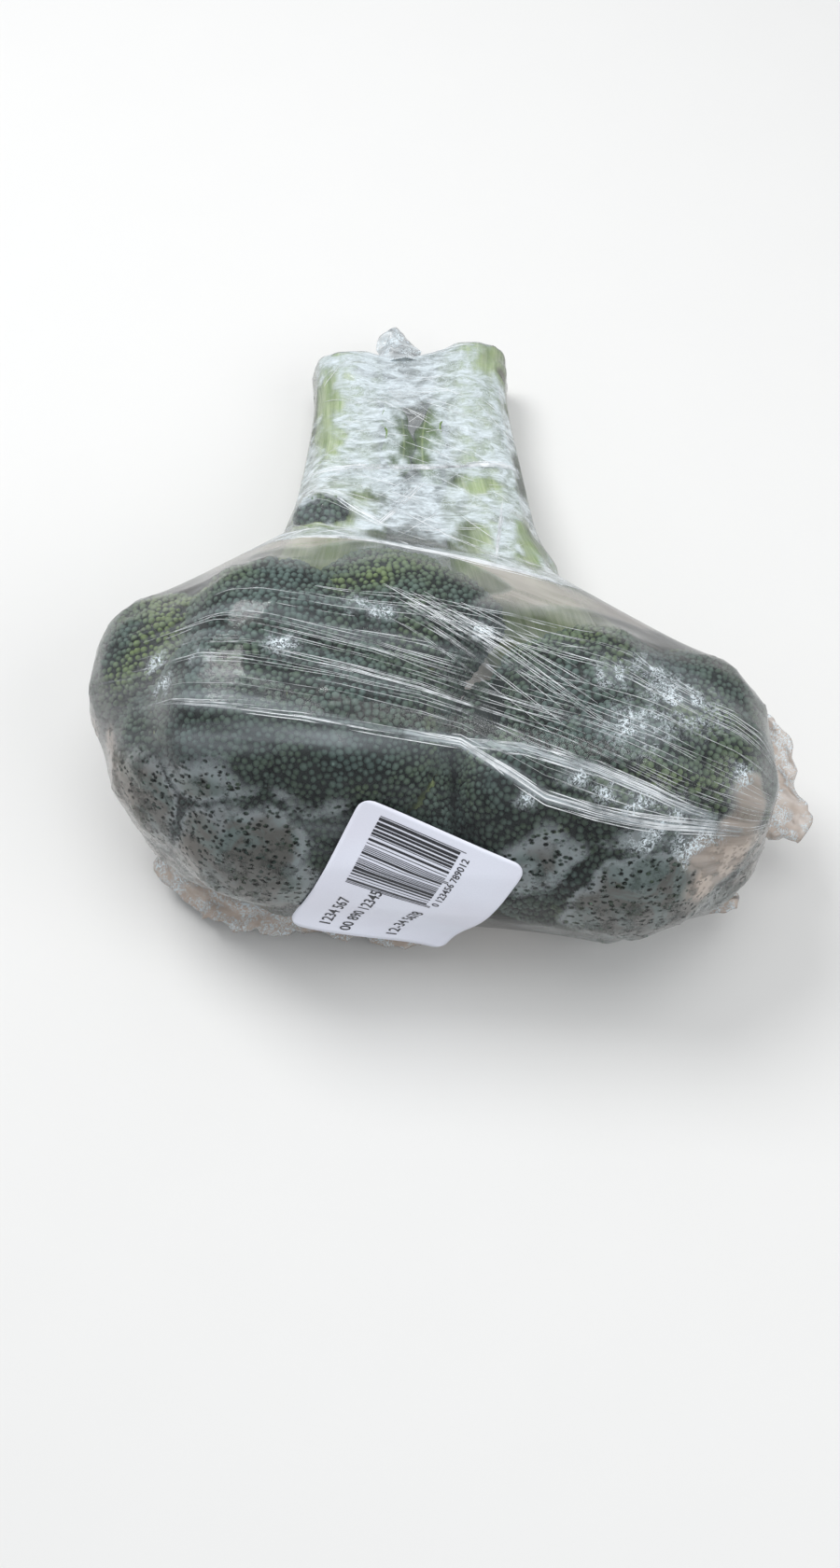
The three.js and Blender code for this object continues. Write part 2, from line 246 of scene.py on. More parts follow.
def copy_node(node, name):
    """A new object with a CAD node's mesh, its loose triangles merged."""
    ob = frame["nodes"][node].copy()
    ob.data = ob.data.copy()
    ob.name = ob.data.name = name
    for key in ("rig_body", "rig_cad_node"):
        del ob[key]
    ob.parent = None
    ob.matrix_world = Matrix.Identity(4)
    ob.data.materials.clear()
    bpy.context.scene.collection.objects.link(ob)
    edit_all(ob, bpy.ops.mesh.remove_doubles, threshold=0.02 * MM)
    return ob


def remesh(ob, voxel, smoothing):
    """Rebuilds an object's surface in even squares, then evens it out."""
    only(ob)
    grid = ob.modifiers.new("even squares", "REMESH")
    grid.mode = "VOXEL"
    grid.voxel_size = voxel
    soft = ob.modifiers.new("soften", "SMOOTH")
    soft.factor = 0.5
    soft.iterations = smoothing
    for modifier in (grid, soft):
        bpy.ops.object.modifier_apply(modifier=modifier.name)
    shade_smooth(ob)


def finish_piece(ob, material, slot, *nodes):
    """Gives a piece its material and its place in the frame."""
    ob.data.materials.clear()
    ob.data.materials.append(material)
    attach(ob, "root")
    if nodes:
        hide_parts(*nodes)
    return ob


def spread(points, apart, rng):
    """Which of some points to keep so that no two are nearer than a distance."""
    tree = KDTree(len(points))
    for i, p in enumerate(points):
        tree.insert(p, i)
    tree.balance()
    free = np.ones(len(points), bool)
    kept = []
    for i in rng.permutation(len(points)):
        if free[i]:
            kept.append(i)
            for _, j, _ in tree.find_range(points[i], apart):
                free[j] = False
    return np.array(kept, int)


def surface_points(co, no, tris, density, rng):
    """Random points on triangles, with their normals, so many for each square metre."""
    a, b, c = (co[tris[:, k]] for k in range(3))
    area = np.linalg.norm(np.cross(b - a, c - a), axis=1) / 2
    count = int(area.sum() * density)
    pick = rng.choice(len(tris), count, p=area / area.sum())
    u, v = rng.random(count), rng.random(count)
    flip = u + v > 1
    u, v = np.where(flip, 1 - u, u), np.where(flip, 1 - v, v)
    w = np.stack([1 - u - v, u, v], 1)
    corner = tris[pick]
    at = np.einsum("nk,nkd->nd", w, co[corner])
    normal = unit(np.einsum("nk,nkd->nd", w, no[corner]))
    return at, normal, corner, w


# ---- Materials -------------------------------------------------------------------------------------


class Nodes:
    """Short ways to lay out a material's nodes."""

    def __init__(self, name):
        self.material = bpy.data.materials.new(name)
        self.material.use_nodes = True
        self.tree = self.material.node_tree
        self.tree.nodes.clear()
        self.out = self.add("ShaderNodeOutputMaterial")

    def add(self, kind, **values):
        node = self.tree.nodes.new(kind)
        for key, value in values.items():
            setattr(node, key, value)
        return node

    def put(self, socket, value):
        if isinstance(value, bpy.types.NodeSocket):
            self.tree.links.new(value, socket)
        else:
            socket.default_value = value

    def attribute(self, name, output="Fac"):
        return self.add("ShaderNodeAttribute", attribute_name=name).outputs[output]

    def objects(self):
        return self.add("ShaderNodeTexCoord").outputs["Object"]

    def mapped(self, vector, scale, turn=(0, 0, 0)):
        node = self.add("ShaderNodeMapping")
        self.put(node.inputs["Vector"], vector)
        self.put(node.inputs["Scale"], scale)
        self.put(node.inputs["Rotation"], turn)
        return node.outputs["Vector"]

    def noise(self, vector, scale, detail=2.0, rough=0.5, bend=0.0):
        node = self.add("ShaderNodeTexNoise")
        self.put(node.inputs["Vector"], vector)
        self.put(node.inputs["Scale"], scale)
        self.put(node.inputs["Detail"], detail)
        self.put(node.inputs["Roughness"], rough)
        self.put(node.inputs["Distortion"], bend)
        return node.outputs["Fac"]

    def cells(self, vector, scale):
        node = self.add("ShaderNodeTexVoronoi")
        self.put(node.inputs["Vector"], vector)
        self.put(node.inputs["Scale"], scale)
        return node.outputs["Distance"]

    def math(self, operation, a, b=0.0, clamp=False):
        node = self.add("ShaderNodeMath", operation=operation, use_clamp=clamp)
        self.put(node.inputs[0], a)
        self.put(node.inputs[1], b)
        return node.outputs[0]

    def range(self, value, low, high, to_low=0.0, to_high=1.0):
        node = self.add("ShaderNodeMapRange", interpolation_type="SMOOTHSTEP")
        self.put(node.inputs["Value"], value)
        self.put(node.inputs["From Min"], low)
        self.put(node.inputs["From Max"], high)
        self.put(node.inputs["To Min"], to_low)
        self.put(node.inputs["To Max"], to_high)
        return node.outputs["Result"]

    def mix(self, share, a, b):
        node = self.add("ShaderNodeMix", data_type="RGBA")
        self.put(node.inputs[0], share)
        self.put(node.inputs[6], a)
        self.put(node.inputs[7], b)
        return node.outputs[2]

    def split(self, colour):
        node = self.add("ShaderNodeSeparateColor")
        self.put(node.inputs[0], colour)
        return node.outputs

    def bump(self, height, depth, strength=1.0):
        node = self.add("ShaderNodeBump")
        self.put(node.inputs["Height"], height)
        self.put(node.inputs["Distance"], depth)
        self.put(node.inputs["Strength"], strength)
        return node.outputs["Normal"]

    def surface(self, colour, rough, normal=None, **sockets):
        node = self.add("ShaderNodeBsdfPrincipled")
        self.put(node.inputs["Base Color"], colour)
        self.put(node.inputs["Roughness"], rough)
        if normal is not None:
            self.put(node.inputs["Normal"], normal)
        for key, value in sockets.items():
            self.put(node.inputs[key.replace("_", " ")], value)
        return node.outputs[0]

    def see_through(self):
        return self.add("ShaderNodeBsdfTransparent").outputs[0]

    def layered(self, share, under, over):
        """One shader with a share of another over it."""
        node = self.add("ShaderNodeMixShader")
        for socket, value in zip(node.inputs, (share, under, over)):
            self.put(socket, value)
        return node.outputs[0]

    def finish(self, shader):
        self.tree.links.new(shader, self.out.inputs["Surface"])
        return self.material


def rgba(colour):
    """A panel colour with its alpha."""
    return (*tuple(colour)[:3], 1.0)


def bud_material(s):
    """Flower buds: painted shade between them, waxy blue green at their tips, yellower where they loosen."""
    n = Nodes("broccoli buds")
    tone = n.split(n.attribute("tone", "Color"))
    each, height, fresh = tone[0], tone[1], tone[2]
    here = n.objects()
    patch = n.range(n.noise(here, 45, 3), 0.35, 0.65)
    green = n.mix(patch, rgba(s.bud_colour), rgba(s.bud_green))
    green = n.mix(n.math("MULTIPLY", each, 0.5), green, rgba(s.bud_pale))
    green = n.mix(n.math("MULTIPLY", fresh, 0.64), green, rgba(s.bud_fresh))
    speckle = n.noise(here, 2200, 2)
    tip = n.mix(n.range(speckle, 0.4, 0.7, 0.0, 0.35), green, rgba(s.bud_pale))
    # Painted shade: each bud fades from its tip colour to the crevice shade colour at its base.
    lit = n.mix(n.range(height, 0.1, 0.75), rgba(s.crevice_shade), tip)
    stem = n.mix(n.range(n.noise(here, 500, 3), 0.3, 0.7), rgba(s.stem_colour), rgba(s.stem_pale))
    colour = n.mix(n.attribute("stem"), lit, stem)
    normal = n.bump(n.noise(here, 1500, 2), 0.1 * MM, 0.5)
    return n.finish(n.surface(colour, 0.62, normal, Specular_IOR_Level=0.35))


# ---- Florets ---------------------------------------------------------------------------------------


class FloretSettings(bpy.types.PropertyGroup):
    bud_pitch: FloatProperty(
        name="Bud pitch", description="Distance between buds", default=1.6 * MM, unit="LENGTH"
    )
    bud_radius: FloatProperty(
        name="Bud radius", description="Radius of one bud", default=1.2 * MM, unit="LENGTH"
    )
    cluster: FloatProperty(
        name="Cluster pitch", description="Distance between clusters of buds", default=9 * MM, unit="LENGTH"
    )
    cluster_rise: FloatProperty(
        name="Cluster rise", description="Height of a cluster's dome", default=1.2 * MM, unit="LENGTH"
    )
    inset: FloatProperty(
        name="Inset", description="Room left under the surface for the buds", default=1.1 * MM, unit="LENGTH"
    )
    squash: FloatProperty(
        name="Squash", description="How far the crowns spread to each other", subtype="FACTOR", default=0.55
    )
    middle: FloatProperty(
        name="Middle lump", description="How far the middle lump leans over", default=14 * MM, unit="LENGTH"
    )
    voxel: FloatProperty(
        name="Voxel", description="Mesh size of a floret's body", default=1.2 * MM, unit="LENGTH"
    )
    bud_colour: FloatVectorProperty(
        name="Bud colour", description="Most buds", subtype="COLOR", default=(0.080, 0.132, 0.118)
    )
    bud_green: FloatVectorProperty(
        name="Bud green", description="Greener patches", subtype="COLOR", default=(0.085, 0.130, 0.072)
    )
    bud_pale: FloatVectorProperty(
        name="Bud bloom", description="Waxy tips", subtype="COLOR", default=(0.165, 0.235, 0.215)
    )
    bud_fresh: FloatVectorProperty(
        name="Fresh buds", description="Loose yellower buds", subtype="COLOR", default=(0.27, 0.36, 0.095)
    )
    # Painted shade: the dark colour at each bud's base and on the floret body between the buds.
    crevice_shade: FloatVectorProperty(
        name="Crevice", description="Between buds", subtype="COLOR", default=(0.006, 0.012, 0.009)
    )
    stem_colour: FloatVectorProperty(
        name="Stem colour", description="Branches", subtype="COLOR", default=(0.20, 0.28, 0.09)
    )
    stem_pale: FloatVectorProperty(
        name="Stem bloom", description="Paler branches", subtype="COLOR", default=(0.36, 0.44, 0.20)
    )


def bud_template():
    """One bud: a blunt dome with a small point, open underneath where it is sunk in its cluster."""
    bpy.ops.object.select_all(action="DESELECT")
    bpy.ops.mesh.primitive_ico_sphere_add(subdivisions=2, radius=1, location=(0, 0, 0))
    ob = bpy.context.object
    bpy.ops.object.mode_set(mode="EDIT")
    bpy.ops.mesh.select_all(action="SELECT")
    bpy.ops.mesh.bisect(plane_co=(0, 0, -0.12), plane_no=(0, 0, 1), clear_inner=True)
    bpy.ops.mesh.select_all(action="SELECT")
    bpy.ops.mesh.quads_convert_to_tris()
    bpy.ops.object.mode_set(mode="OBJECT")
    co, tris = coords(ob), triangles(ob)
    co[:, 2] = co[:, 2] * 1.15 + 0.12 * step(0.8, 1.0, co[:, 2])
    bpy.data.objects.remove(ob)
    return co, tris


def floret_root(node):
    """Where a floret's branch comes from: the end of its stalk, inside the crown."""
    head = node.split("_")[0]
    stalk = coords(frame["nodes"][f"{head}_stalk"])
    if "side" in node:
        low, high = (np.array(corner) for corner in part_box(node))
        return (low + high) / 2 - np.array([0, 0, 12 * MM])
    return stalk[stalk[:, 1].argmin()]


def floret_body(node, s):
    """The body that a floret's buds sit on: its CAD solid, evened out and shrunk by the inset."""
    ob = copy_node(node, f"{node}_buds")
    small = "side" in node
    remesh(ob, s.voxel * (0.6 if small else 1), 2 if small else 3)
    co = coords(ob)
    if "left" in node and not small:
        away = np.linalg.norm((co - MIDDLE) / MIDDLE_REACH, axis=1)
        co[:, 0] += s.middle * np.exp(-(away**2)) * step(*MIDDLE_START, co[:, 0])
    off = co[:, 0] - MEETING
    pressed = step(*SPREAD_HEIGHTS, co[:, 2]) * (1 - step(*SPREAD_REACH, np.abs(off)))
    pressed *= 1 - step(*SPREAD_BACK, co[:, 1])
    co[:, 0] -= (0 if small else s.squash) * pressed * off
    put_coords(ob, co)
    co, no = coords(ob), vertex_normals(ob)
    put_coords(ob, co - no * s.inset * (0.4 if small else 1))
    return ob


def hidden_by(tree, co, no, reach):
    """Which points face something nearer than reach."""
    hidden = np.zeros(len(co), bool)
    for i in range(len(co)):
        start = Vector(co[i] + no[i] * 0.3 * MM)
        hidden[i] = tree.ray_cast(start, Vector(no[i]), reach)[0] is not None
    return hidden


def tree_of(objects):
    """One search tree over several objects' surfaces."""
    co, faces, base = [], [], 0
    for ob in objects:
        c = coords(ob)
        co.append(c)
        faces.append(triangles(ob) + base)
        base += len(c)
    return BVHTree.FromPolygons(np.concatenate(co).tolist(), np.concatenate(faces).tolist())


def raise_clusters(ob, zone, s, rng):
    """Lifts a floret's bud-bearing surface in small domes. Returns how far each vertex is from the nearest
    groove between clusters.
    """
    co, no = coords(ob), vertex_normals(ob)
    bearing = np.flatnonzero(zone > 0.5)
    centres = co[bearing][spread(co[bearing], s.cluster, rng)]
    centres = centres + rng.normal(scale=0.6 * MM, size=centres.shape)
    away = np.linalg.norm(co[:, None] - centres[None], axis=2)
    away.sort(axis=1)
    first = away[:, 0]
    second = away[:, 1] if away.shape[1] > 1 else first + s.cluster
    dome = np.sqrt(np.clip(1 - (first / (0.72 * s.cluster)) ** 2, 0, 1))
    clear = step(0, 2.4 * MM, second - first)
    lift = s.cluster_rise * (dome * (0.45 + 0.55 * clear) - 0.25)
    put_coords(ob, co + no * (lift * zone)[:, None])
    return clear


def bud_freshness(at, root):
    """How yellow and loose each bud is, from 0 to 1."""
    out = unit(at - root)
    loose = ripple(at, 16 * MM, 7) + 0.35 * ripple(at, 5 * MM, 9)
    back = step(-0.15, 0.5, out[:, 1])  # buds towards the stalk are older and looser
    skirt = step(-0.1, 0.75, -out[:, 2])
    fresh = 0.8 * back * step(-0.5, 0.6, loose) + 0.5 * skirt + 0.3 * step(0.7, 1.3, loose)
    for *spot, radius in FRESH:
        away = np.linalg.norm(at - np.array(spot) * MM, axis=1) / (radius * MM)
        fresh += 0.95 * np.exp(-(away**2)) * step(-0.7, 0.4, loose)
    return np.clip(fresh, 0, 1)


def grow_buds(ob, zone, clear, under, root, template, s, rng):
    """Covers a floret's bud-bearing surface with buds, joined into one mesh with it."""
    co, no, tris = coords(ob), vertex_normals(ob), triangles(ob)
    bearing = tris[zone[tris].mean(1) > 0.45]
    at, normal, corner, w = surface_points(co, no, bearing, 9 / s.bud_pitch**2, rng)
    keep = spread(at, s.bud_pitch, rng)
    keep = keep[np.linalg.norm((at[keep] - CLEFT[0]) / CLEFT[1], axis=1) > 1]
    at, normal, corner, w = at[keep], normal[keep], corner[keep], w[keep]
    crack = np.einsum("nk,nk->n", w, clear[corner])
    count = len(at)
    up = unit(normal + 0.16 * rng.normal(size=(count, 3)))
    side = unit(np.cross(up, rng.normal(size=(count, 3))))
    third = np.cross(up, side)
    size = s.bud_radius * rng.uniform(0.78, 1.16, count) * (0.86 + 0.14 * crack)
    squash = rng.uniform(0.86, 1.16, (count, 1, 1))
    shape, faces = template
    body = np.einsum("ni,v->nvi", side, shape[:, 0]) * squash + np.einsum("ni,v->nvi", third, shape[:, 1])
    body += np.einsum("ni,v->nvi", up, shape[:, 2])
    buds = at[:, None] - up[:, None] * 0.35 * s.bud_radius + body * size[:, None, None]
    base = len(co)
    bud_faces = (faces[None] + base + np.arange(count)[:, None, None] * len(shape)).reshape(-1)
    loops = np.concatenate([tris.ravel(), bud_faces])
    sizes = np.full(len(tris) + count * len(faces), 3)
    whole = mesh_object(ob.name + "_grown", np.concatenate([co, buds.reshape(-1, 3)]), loops, sizes)

    fresh = bud_freshness(at, root)
    each = rng.random(count)
    height = np.clip(shape[:, 2] / shape[:, 2].max(), 0, 1)
    tone = np.zeros((len(whole.data.vertices), 4))
    tone[:, 3] = 1
    # Painted shade: the floret body between the buds takes the full crevice shade, except where the stem
    # attribute colours it as branch.
    tone[:base, 1] = 0.1
    grown = tone[base:].reshape(count, len(shape), 4)
    grown[..., 0] = each[:, None]
    # Painted shade: each bud darker towards its base, and darker still near the grooves between clusters.
    grown[..., 1] = height[None] * (0.62 + 0.38 * crack[:, None])
    grown[..., 2] = fresh[:, None]
    set_attribute(whole, "tone", tone)
    set_attribute(whole, "stem", np.concatenate([under, np.zeros(count * len(shape))]))
    name = ob.name
    bpy.data.objects.remove(ob)
    whole.name = whole.data.name = name
    return whole


class BROCCOLI_OT_florets(bpy.types.Operator):
    """Grow every floret: a body of small domes, covered with buds where it faces out"""

    bl_idname = "broccoli.florets"
    bl_label = "Florets"

    def execute(self, context):
        s = context.scene.broccoli_florets
        rng = np.random.default_rng(12)
        nodes = sorted(n for n in frame["nodes"] if "floret" in n)
        template = bud_template()
        bodies = {node: floret_body(node, s) for node in nodes}
        tree = tree_of(bodies.values())
        material = bud_material(s)
        for node, ob in bodies.items():
            root = floret_root(node)
            co, no = coords(ob), vertex_normals(ob)
            out = unit(co - root)
            facing = (no * out).sum(1)
            under = 1 - step(-0.35, -0.05, facing)
            zone = step(-0.25, 0.1, facing) * ~hidden_by(tree, co, no, 3.2 * MM)
            zone = averaged(zone.astype(float), edges_of(ob), 4)
            walls = (1 - zone) * s.inset * 0.9  # where florets touch they keep their full width
            put_coords(ob, co + no * walls[:, None])
            clear = raise_clusters(ob, zone, s, rng)
            whole = grow_buds(ob, zone, clear, under, root, template, s, rng)
            made[node] = finish_piece(whole, material, "flower_buds", node)
        return {"FINISHED"}


# ---- Stalks and leaves -----------------------------------------------------------------------------


class StalkSettings(bpy.types.PropertyGroup):
    voxel: FloatProperty(name="Voxel", description="Mesh size of a stalk", default=1.0 * MM, unit="LENGTH")
    ridge: FloatProperty(
        name="Ridge", description="Height of a stalk's ribs", default=0.45 * MM, unit="LENGTH"
    )
    leaf_width: FloatProperty(
        name="Leaf width", description="A small leaf's greatest width", default=19 * MM, unit="LENGTH"
    )
    leaf_wall: FloatProperty(
        name="Leaf thickness", description="A small leaf's thickness", default=0.5 * MM, unit="LENGTH"
    )
    skin: FloatVectorProperty(
        name="Skin", description="A stalk's skin", subtype="COLOR", default=(0.33, 0.44, 0.19)
    )
    skin_pale: FloatVectorProperty(
        name="Skin bloom", description="Its paler streaks", subtype="COLOR", default=(0.58, 0.66, 0.42)
    )
    cut: FloatVectorProperty(
        name="Cut end", description="Its cut end", subtype="COLOR", default=(0.66, 0.68, 0.45)
    )
    scar: FloatVectorProperty(
        name="Scar", description="Leaf scars", subtype="COLOR", default=(0.12, 0.09, 0.05)
    )
    leaf: FloatVectorProperty(
        name="Leaf", description="Small leaves", subtype="COLOR", default=(0.15, 0.24, 0.06)
    )
    vein: FloatVectorProperty(
        name="Vein", description="Their veins", subtype="COLOR", default=(0.38, 0.48, 0.20)
    )


# The leaf scars up each stalk.
SCARS = 5
SCAR_FIRST, SCAR_PITCH = 14 * MM, 26 * MM  # from the cut end to the first, and from each to the next
SCAR_START = {"left": 1.1, "right": 0.5}  # where the first is round its stalk, in radians
SCAR_TURN = 2.4  # and how far round the next one is
SCAR_HALF = (7.5 * MM, 4.2 * MM)  # half a scar's width round the stalk, and half its length


def stalk_axis(co):
    """A stalk's middle at even steps along Y, as (y, x, z) rows."""
    ys = np.linspace(co[:, 1].min() + 2 * MM, co[:, 1].max() - 2 * MM, 40)
    rows = []
    for y in ys:
        near = np.abs(co[:, 1] - y) < 3 * MM
        rows.append([y, *(np.ptp(co[near, k]) / 2 + co[near, k].min() for k in (0, 2))])
    return np.array(rows)


def stalk_material(s):
    """A stalk: fibrous light green skin with bloom, a paler cut end, brown scars and painted shade in the
    grooves between its ribs.
    """
    n = Nodes("broccoli stalk")
    tone = n.split(n.attribute("tone", "Color"))
    cut, scar, deep = tone[0], tone[1], tone[2]
    flow = n.attribute("flow", "Vector")
    fibre = n.noise(n.mapped(flow, (900, 60, 1)), 1.0, 3, 0.6)
    here = n.objects()
    blotch = n.noise(here, 60, 3)
    skin = n.mix(n.range(fibre, 0.35, 0.7), rgba(s.skin), rgba(s.skin_pale))
    skin = n.mix(n.range(blotch, 0.4, 0.75, 0.0, 0.5), skin, rgba(s.skin_pale))
    pith = n.mix(n.range(n.noise(here, 700, 3), 0.3, 0.7), rgba(s.cut), rgba(s.skin_pale))
    colour = n.mix(cut, skin, pith)
    colour = n.mix(scar, colour, rgba(s.scar))
    # Painted shade: the grooves between the ribs are darkened towards a deep green.
    colour = n.mix(n.math("MULTIPLY", deep, 0.6), colour, (0.10, 0.15, 0.05, 1))
    normal = n.bump(fibre, 0.25 * MM, 0.6)
    return n.finish(n.surface(colour, 0.5, normal, Specular_IOR_Level=0.4))


def leaf_scars(head, from_end, angle, radius):
    """How brown each vertex of a stalk is with scars, and how far the stalk swells round them."""
    scars, swell = np.zeros(len(angle)), np.zeros(len(angle))
    for k in range(SCARS):
        turn = np.angle(np.exp(1j * (angle - SCAR_START[head] - SCAR_TURN * k)))
        across = turn * radius / SCAR_HALF[0]
        gap = np.hypot(across, (from_end - SCAR_FIRST - SCAR_PITCH * k) / SCAR_HALF[1])
        swell += 1.1 * MM * np.exp(-((gap - 0.9) ** 2) / 0.12) + 0.5 * MM * np.exp(-(gap**2))
        scars = np.maximum(scars, (1 - step(0.35, 0.8, gap)) * (0.9 if k == 0 else 0.45))
    return scars, swell


def grow_stalk(head, s):
    """A stalk with its ribs and the scars of the leaves that were cut off it."""
    ob = copy_node(f"{head}_stalk", f"{head}_stalk_skin")
    remesh(ob, s.voxel, 4)
    co, no = coords(ob), vertex_normals(ob)
    rows = stalk_axis(co)
    middle = np.stack([np.interp(co[:, 1], rows[:, 0], rows[:, k]) for k in (1, 2)], 1)
    arm = np.stack([co[:, 0], co[:, 2]], 1) - middle
    radius = np.linalg.norm(arm, axis=1)
    angle = np.arctan2(arm[:, 1], arm[:, 0])
    end = co[:, 1].max()
    side = 1 - step(0.6, 0.9, no[:, 1])
    waves = np.sin(7 * angle + 30 * co[:, 1]) + 0.6 * np.sin(13 * angle - 55 * co[:, 1] + 2)
    lift = s.ridge * 0.4 * waves + 0.35 * MM * ripple(co, 14 * MM, 5)
    scars, swell = leaf_scars(head, end - co[:, 1], angle, radius)
    put_coords(ob, co + no * ((lift + swell) * side - 0.5 * MM)[:, None])
    tone = np.zeros((len(co), 4))
    tone[:, 3] = 1
    tone[:, 0] = step(0.7, 0.95, no[:, 1]) * (co[:, 1] > end - 6 * MM)
    tone[:, 1] = scars * side
    # Painted shade for the grooves between the ribs, in the third channel.
    tone[:, 2] = step(0.3, 1.2, -waves) * side * 0.5
    set_attribute(ob, "tone", tone)
    around = angle * 16 * MM  # as if unrolled from a stalk of this radius
    set_attribute(ob, "flow", np.stack([around, co[:, 1], 0 * angle], 1))
    return ob


class BROCCOLI_OT_stalks(bpy.types.Operator):
    """Grow both stalks, ribbed and scarred, with their cut ends"""

    bl_idname = "broccoli.stalks"
    bl_label = "Stalks"

    def execute(self, context):
        s = context.scene.broccoli_stalks
        material = stalk_material(s)
        for head in HEADS:
            ob = grow_stalk(head, s)
            made[f"{head}_stalk"] = finish_piece(ob, material, "stalk_flesh", f"{head}_stalk")
        return {"FINISHED"}


def leaf_material(s):
    """A small leaf: green blade, pale midrib and side veins."""
    n = Nodes("broccoli leaf")
    flow = n.split(n.attribute("flow", "Color"))
    along, across = flow[0], flow[1]
    rib = n.range(across, 0.02, 0.12, 1.0, 0.0)
    ladder = n.math("SUBTRACT", n.math("MULTIPLY", along, 9.0), n.math("MULTIPLY", across, 3.5))
    saw = n.math("PINGPONG", ladder, 0.5)
    veins = n.math("MULTIPLY", n.range(saw, 0.0, 0.09, 1.0, 0.0), 0.6)
    mark = n.math("MAXIMUM", rib, veins)
    mottled = n.noise(n.objects(), 900, 3)
    green = n.mix(n.range(mottled, 0.3, 0.7, 0.0, 0.5), rgba(s.leaf), (0.17, 0.28, 0.07, 1))
    colour = n.mix(mark, green, rgba(s.vein))
    normal = n.bump(mark, 0.3 * MM, 0.5)
    return n.finish(n.surface(colour, 0.45, normal, Specular_IOR_Level=0.4))


def grow_leaf(head, s):
    """A cupped, wavy blade where the CAD leaf lies against its stalk, with its tip curling off it."""
    low, high = (np.array(corner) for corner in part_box(f"{head}_leaf"))
    away = 1.0 if head == "left" else -1.0
    rows, columns = 36, 15
    t = np.linspace(0, 1, rows)[:, None]
    v = np.linspace(-1, 1, columns)[None, :]
    half = s.leaf_width / 2 * np.sin(math.pi * np.clip(t, 0.02, 0.985) ** 0.95) ** 0.6
    y = high[1] + 7 * MM - (high[1] - low[1] + 4 * MM) * t + 0 * v  # from its base towards the crown
    wave = 1.1 * MM * np.sin(20 * t + 2 * v * away) * np.abs(v) ** 2
    z = (low[2] + high[2]) / 2 + 6 * MM + (t - 0.5) * 12 * MM + half * v * 0.75 + wave
    inner = low[0] + 1.2 * MM if head == "left" else high[0] - 1.2 * MM
    x = inner + away * (1.6 * MM + 2.4 * MM * t**2 + 0.55 * half * (1 - v) - 2 * MM * v**2 + wave)
    co = np.stack([x + 0 * v, y, z], 2).reshape(-1, 3)
    quads = grid_faces(rows, columns)
    ob = mesh_object(f"{head}_leaf_blade", co, quads.ravel(), np.full(len(quads), 4))
    flow = np.stack([t + 0 * v, np.abs(v) + 0 * t, 0 * t * v, 1 + 0 * t * v], 2).reshape(-1, 4)
    set_attribute(ob, "flow", flow)
    thicken(ob, s.leaf_wall)
    edit_all(ob, bpy.ops.mesh.normals_make_consistent, inside=False)
    return ob


class BROCCOLI_OT_leaves(bpy.types.Operator):
    """Grow the small leaf that lies against each stalk"""

    bl_idname = "broccoli.leaves"
    bl_label = "Leaves"

    def execute(self, context):
        s = context.scene.broccoli_stalks
        material = leaf_material(s)
        for head in HEADS:
            ob = grow_leaf(head, s)
            made[f"{head}_leaf"] = finish_piece(ob, material, "leaf_blade", f"{head}_leaf")
        return {"FINISHED"}


# ---- Film ------------------------------------------------------------------------------------------

# How the film is pulled over the crowns: from its front fold back to the shoulders, curves of
# (x in mm, degrees round the crowns' axis from the front) that its streaks follow.
PULL = (
    (0.00, ((-93, 64), (-59, 69), (-21, 69), (2, 69), (16, 61), (25, 55.6), (39, 52.7), (65, 50), (95, 46))),
    (0.40, ((-93, 86), (-47, 87), (-9, 85.5), (29, 75), (59, 62.6), (95, 52))),
    (0.65, ((-93, 99), (-47, 96.7), (-22, 95), (4, 91), (37, 87), (59, 81), (95, 72))),
    (1.00, ((-93, 106), (-40, 113), (-9, 119), (17, 119), (51, 111), (71, 104), (95, 96))),
)
# Folds over the crowns: (x, degrees) along each, then how many strands, how far they stray and their width.
CROWN_FOLDS = (
    (((-93, 64), (-78, 68.5), (-59, 69.3), (-41, 69.8), (-21, 69.1), (2, 69)), 13, 0.9, 0.24),
    (((-12, 69.3), (2, 69), (16, 61.4), (25, 55.6), (39, 52.7), (65, 50), (80, 48)), 34, 1.7, 0.3),
    (((2, 69), (19, 70), (39, 66.5), (54, 61.7), (72, 53.8)), 26, 1.6, 0.26),
    (((-75, 86), (-47, 88), (-9, 85), (20, 78)), 16, 1.6, 0.22),
    (((-84, 100), (-47, 99), (-22, 98), (4, 93)), 12, 1.6, 0.2),
)
# Crumpled knots over the crowns, where the film's material paints glints: x, degrees, radius in mm.
KNOTS = (
    (-81, 76, 6), (-84, 86, 5), (-70, 84, 4), (-47, 92, 4), (-27, 113, 4), (-20, 112, 4), (8, 113, 4),
    (64, 102, 12), (51, 84, 9), (45, 104, 6), (56, 113, 6), (33, 64, 4), (42, 60, 4), (50, 57, 6),
    (60, 53, 7), (67, 42, 8), (54, 45, 6), (20, 54, 3), (80, 74, 5),
)
# Where several layers stand off the buds at the crowns' ends: x, degrees, radius in mm.
POCKETS = ((84, 62, 9), (80, 46, 9), (69, 37, 7), (75, 26, 10))
# Hazier and clearer film over the crowns: x, degrees, radius in mm, strength.
FOG = (
    (12, 84, 13, -0.7), (-50, 58, 26, 5.6), (76, 84, 12, 3.1), (-72, 96, 16, 2.0), (-30, 104, 16, 1.1),
    (58, 98, 14, 1.4), (30, 112, 14, 1.3),
)
# Folds over the stalks: (x, y) in mm along each, then strands, stray and width.
STALK_FOLDS = (
    (((-53, 46), (-42, 43.5), (-31, 45), (-6, 47), (25, 52)), 22, 0.7, 0.45),
    (((-51, 1), (-35, 1.5), (-18, -2), (5, -7), (23, -9), (35, -12)), 30, 0.8, 0.5),
    (((-38, 28), (-21, 17)), 9, 1.4, 0.3),
    (((-6, 42), (-23, 16)), 12, 1.7, 0.3),
    (((19, 32), (15, 2)), 12, 1.9, 0.3),
)
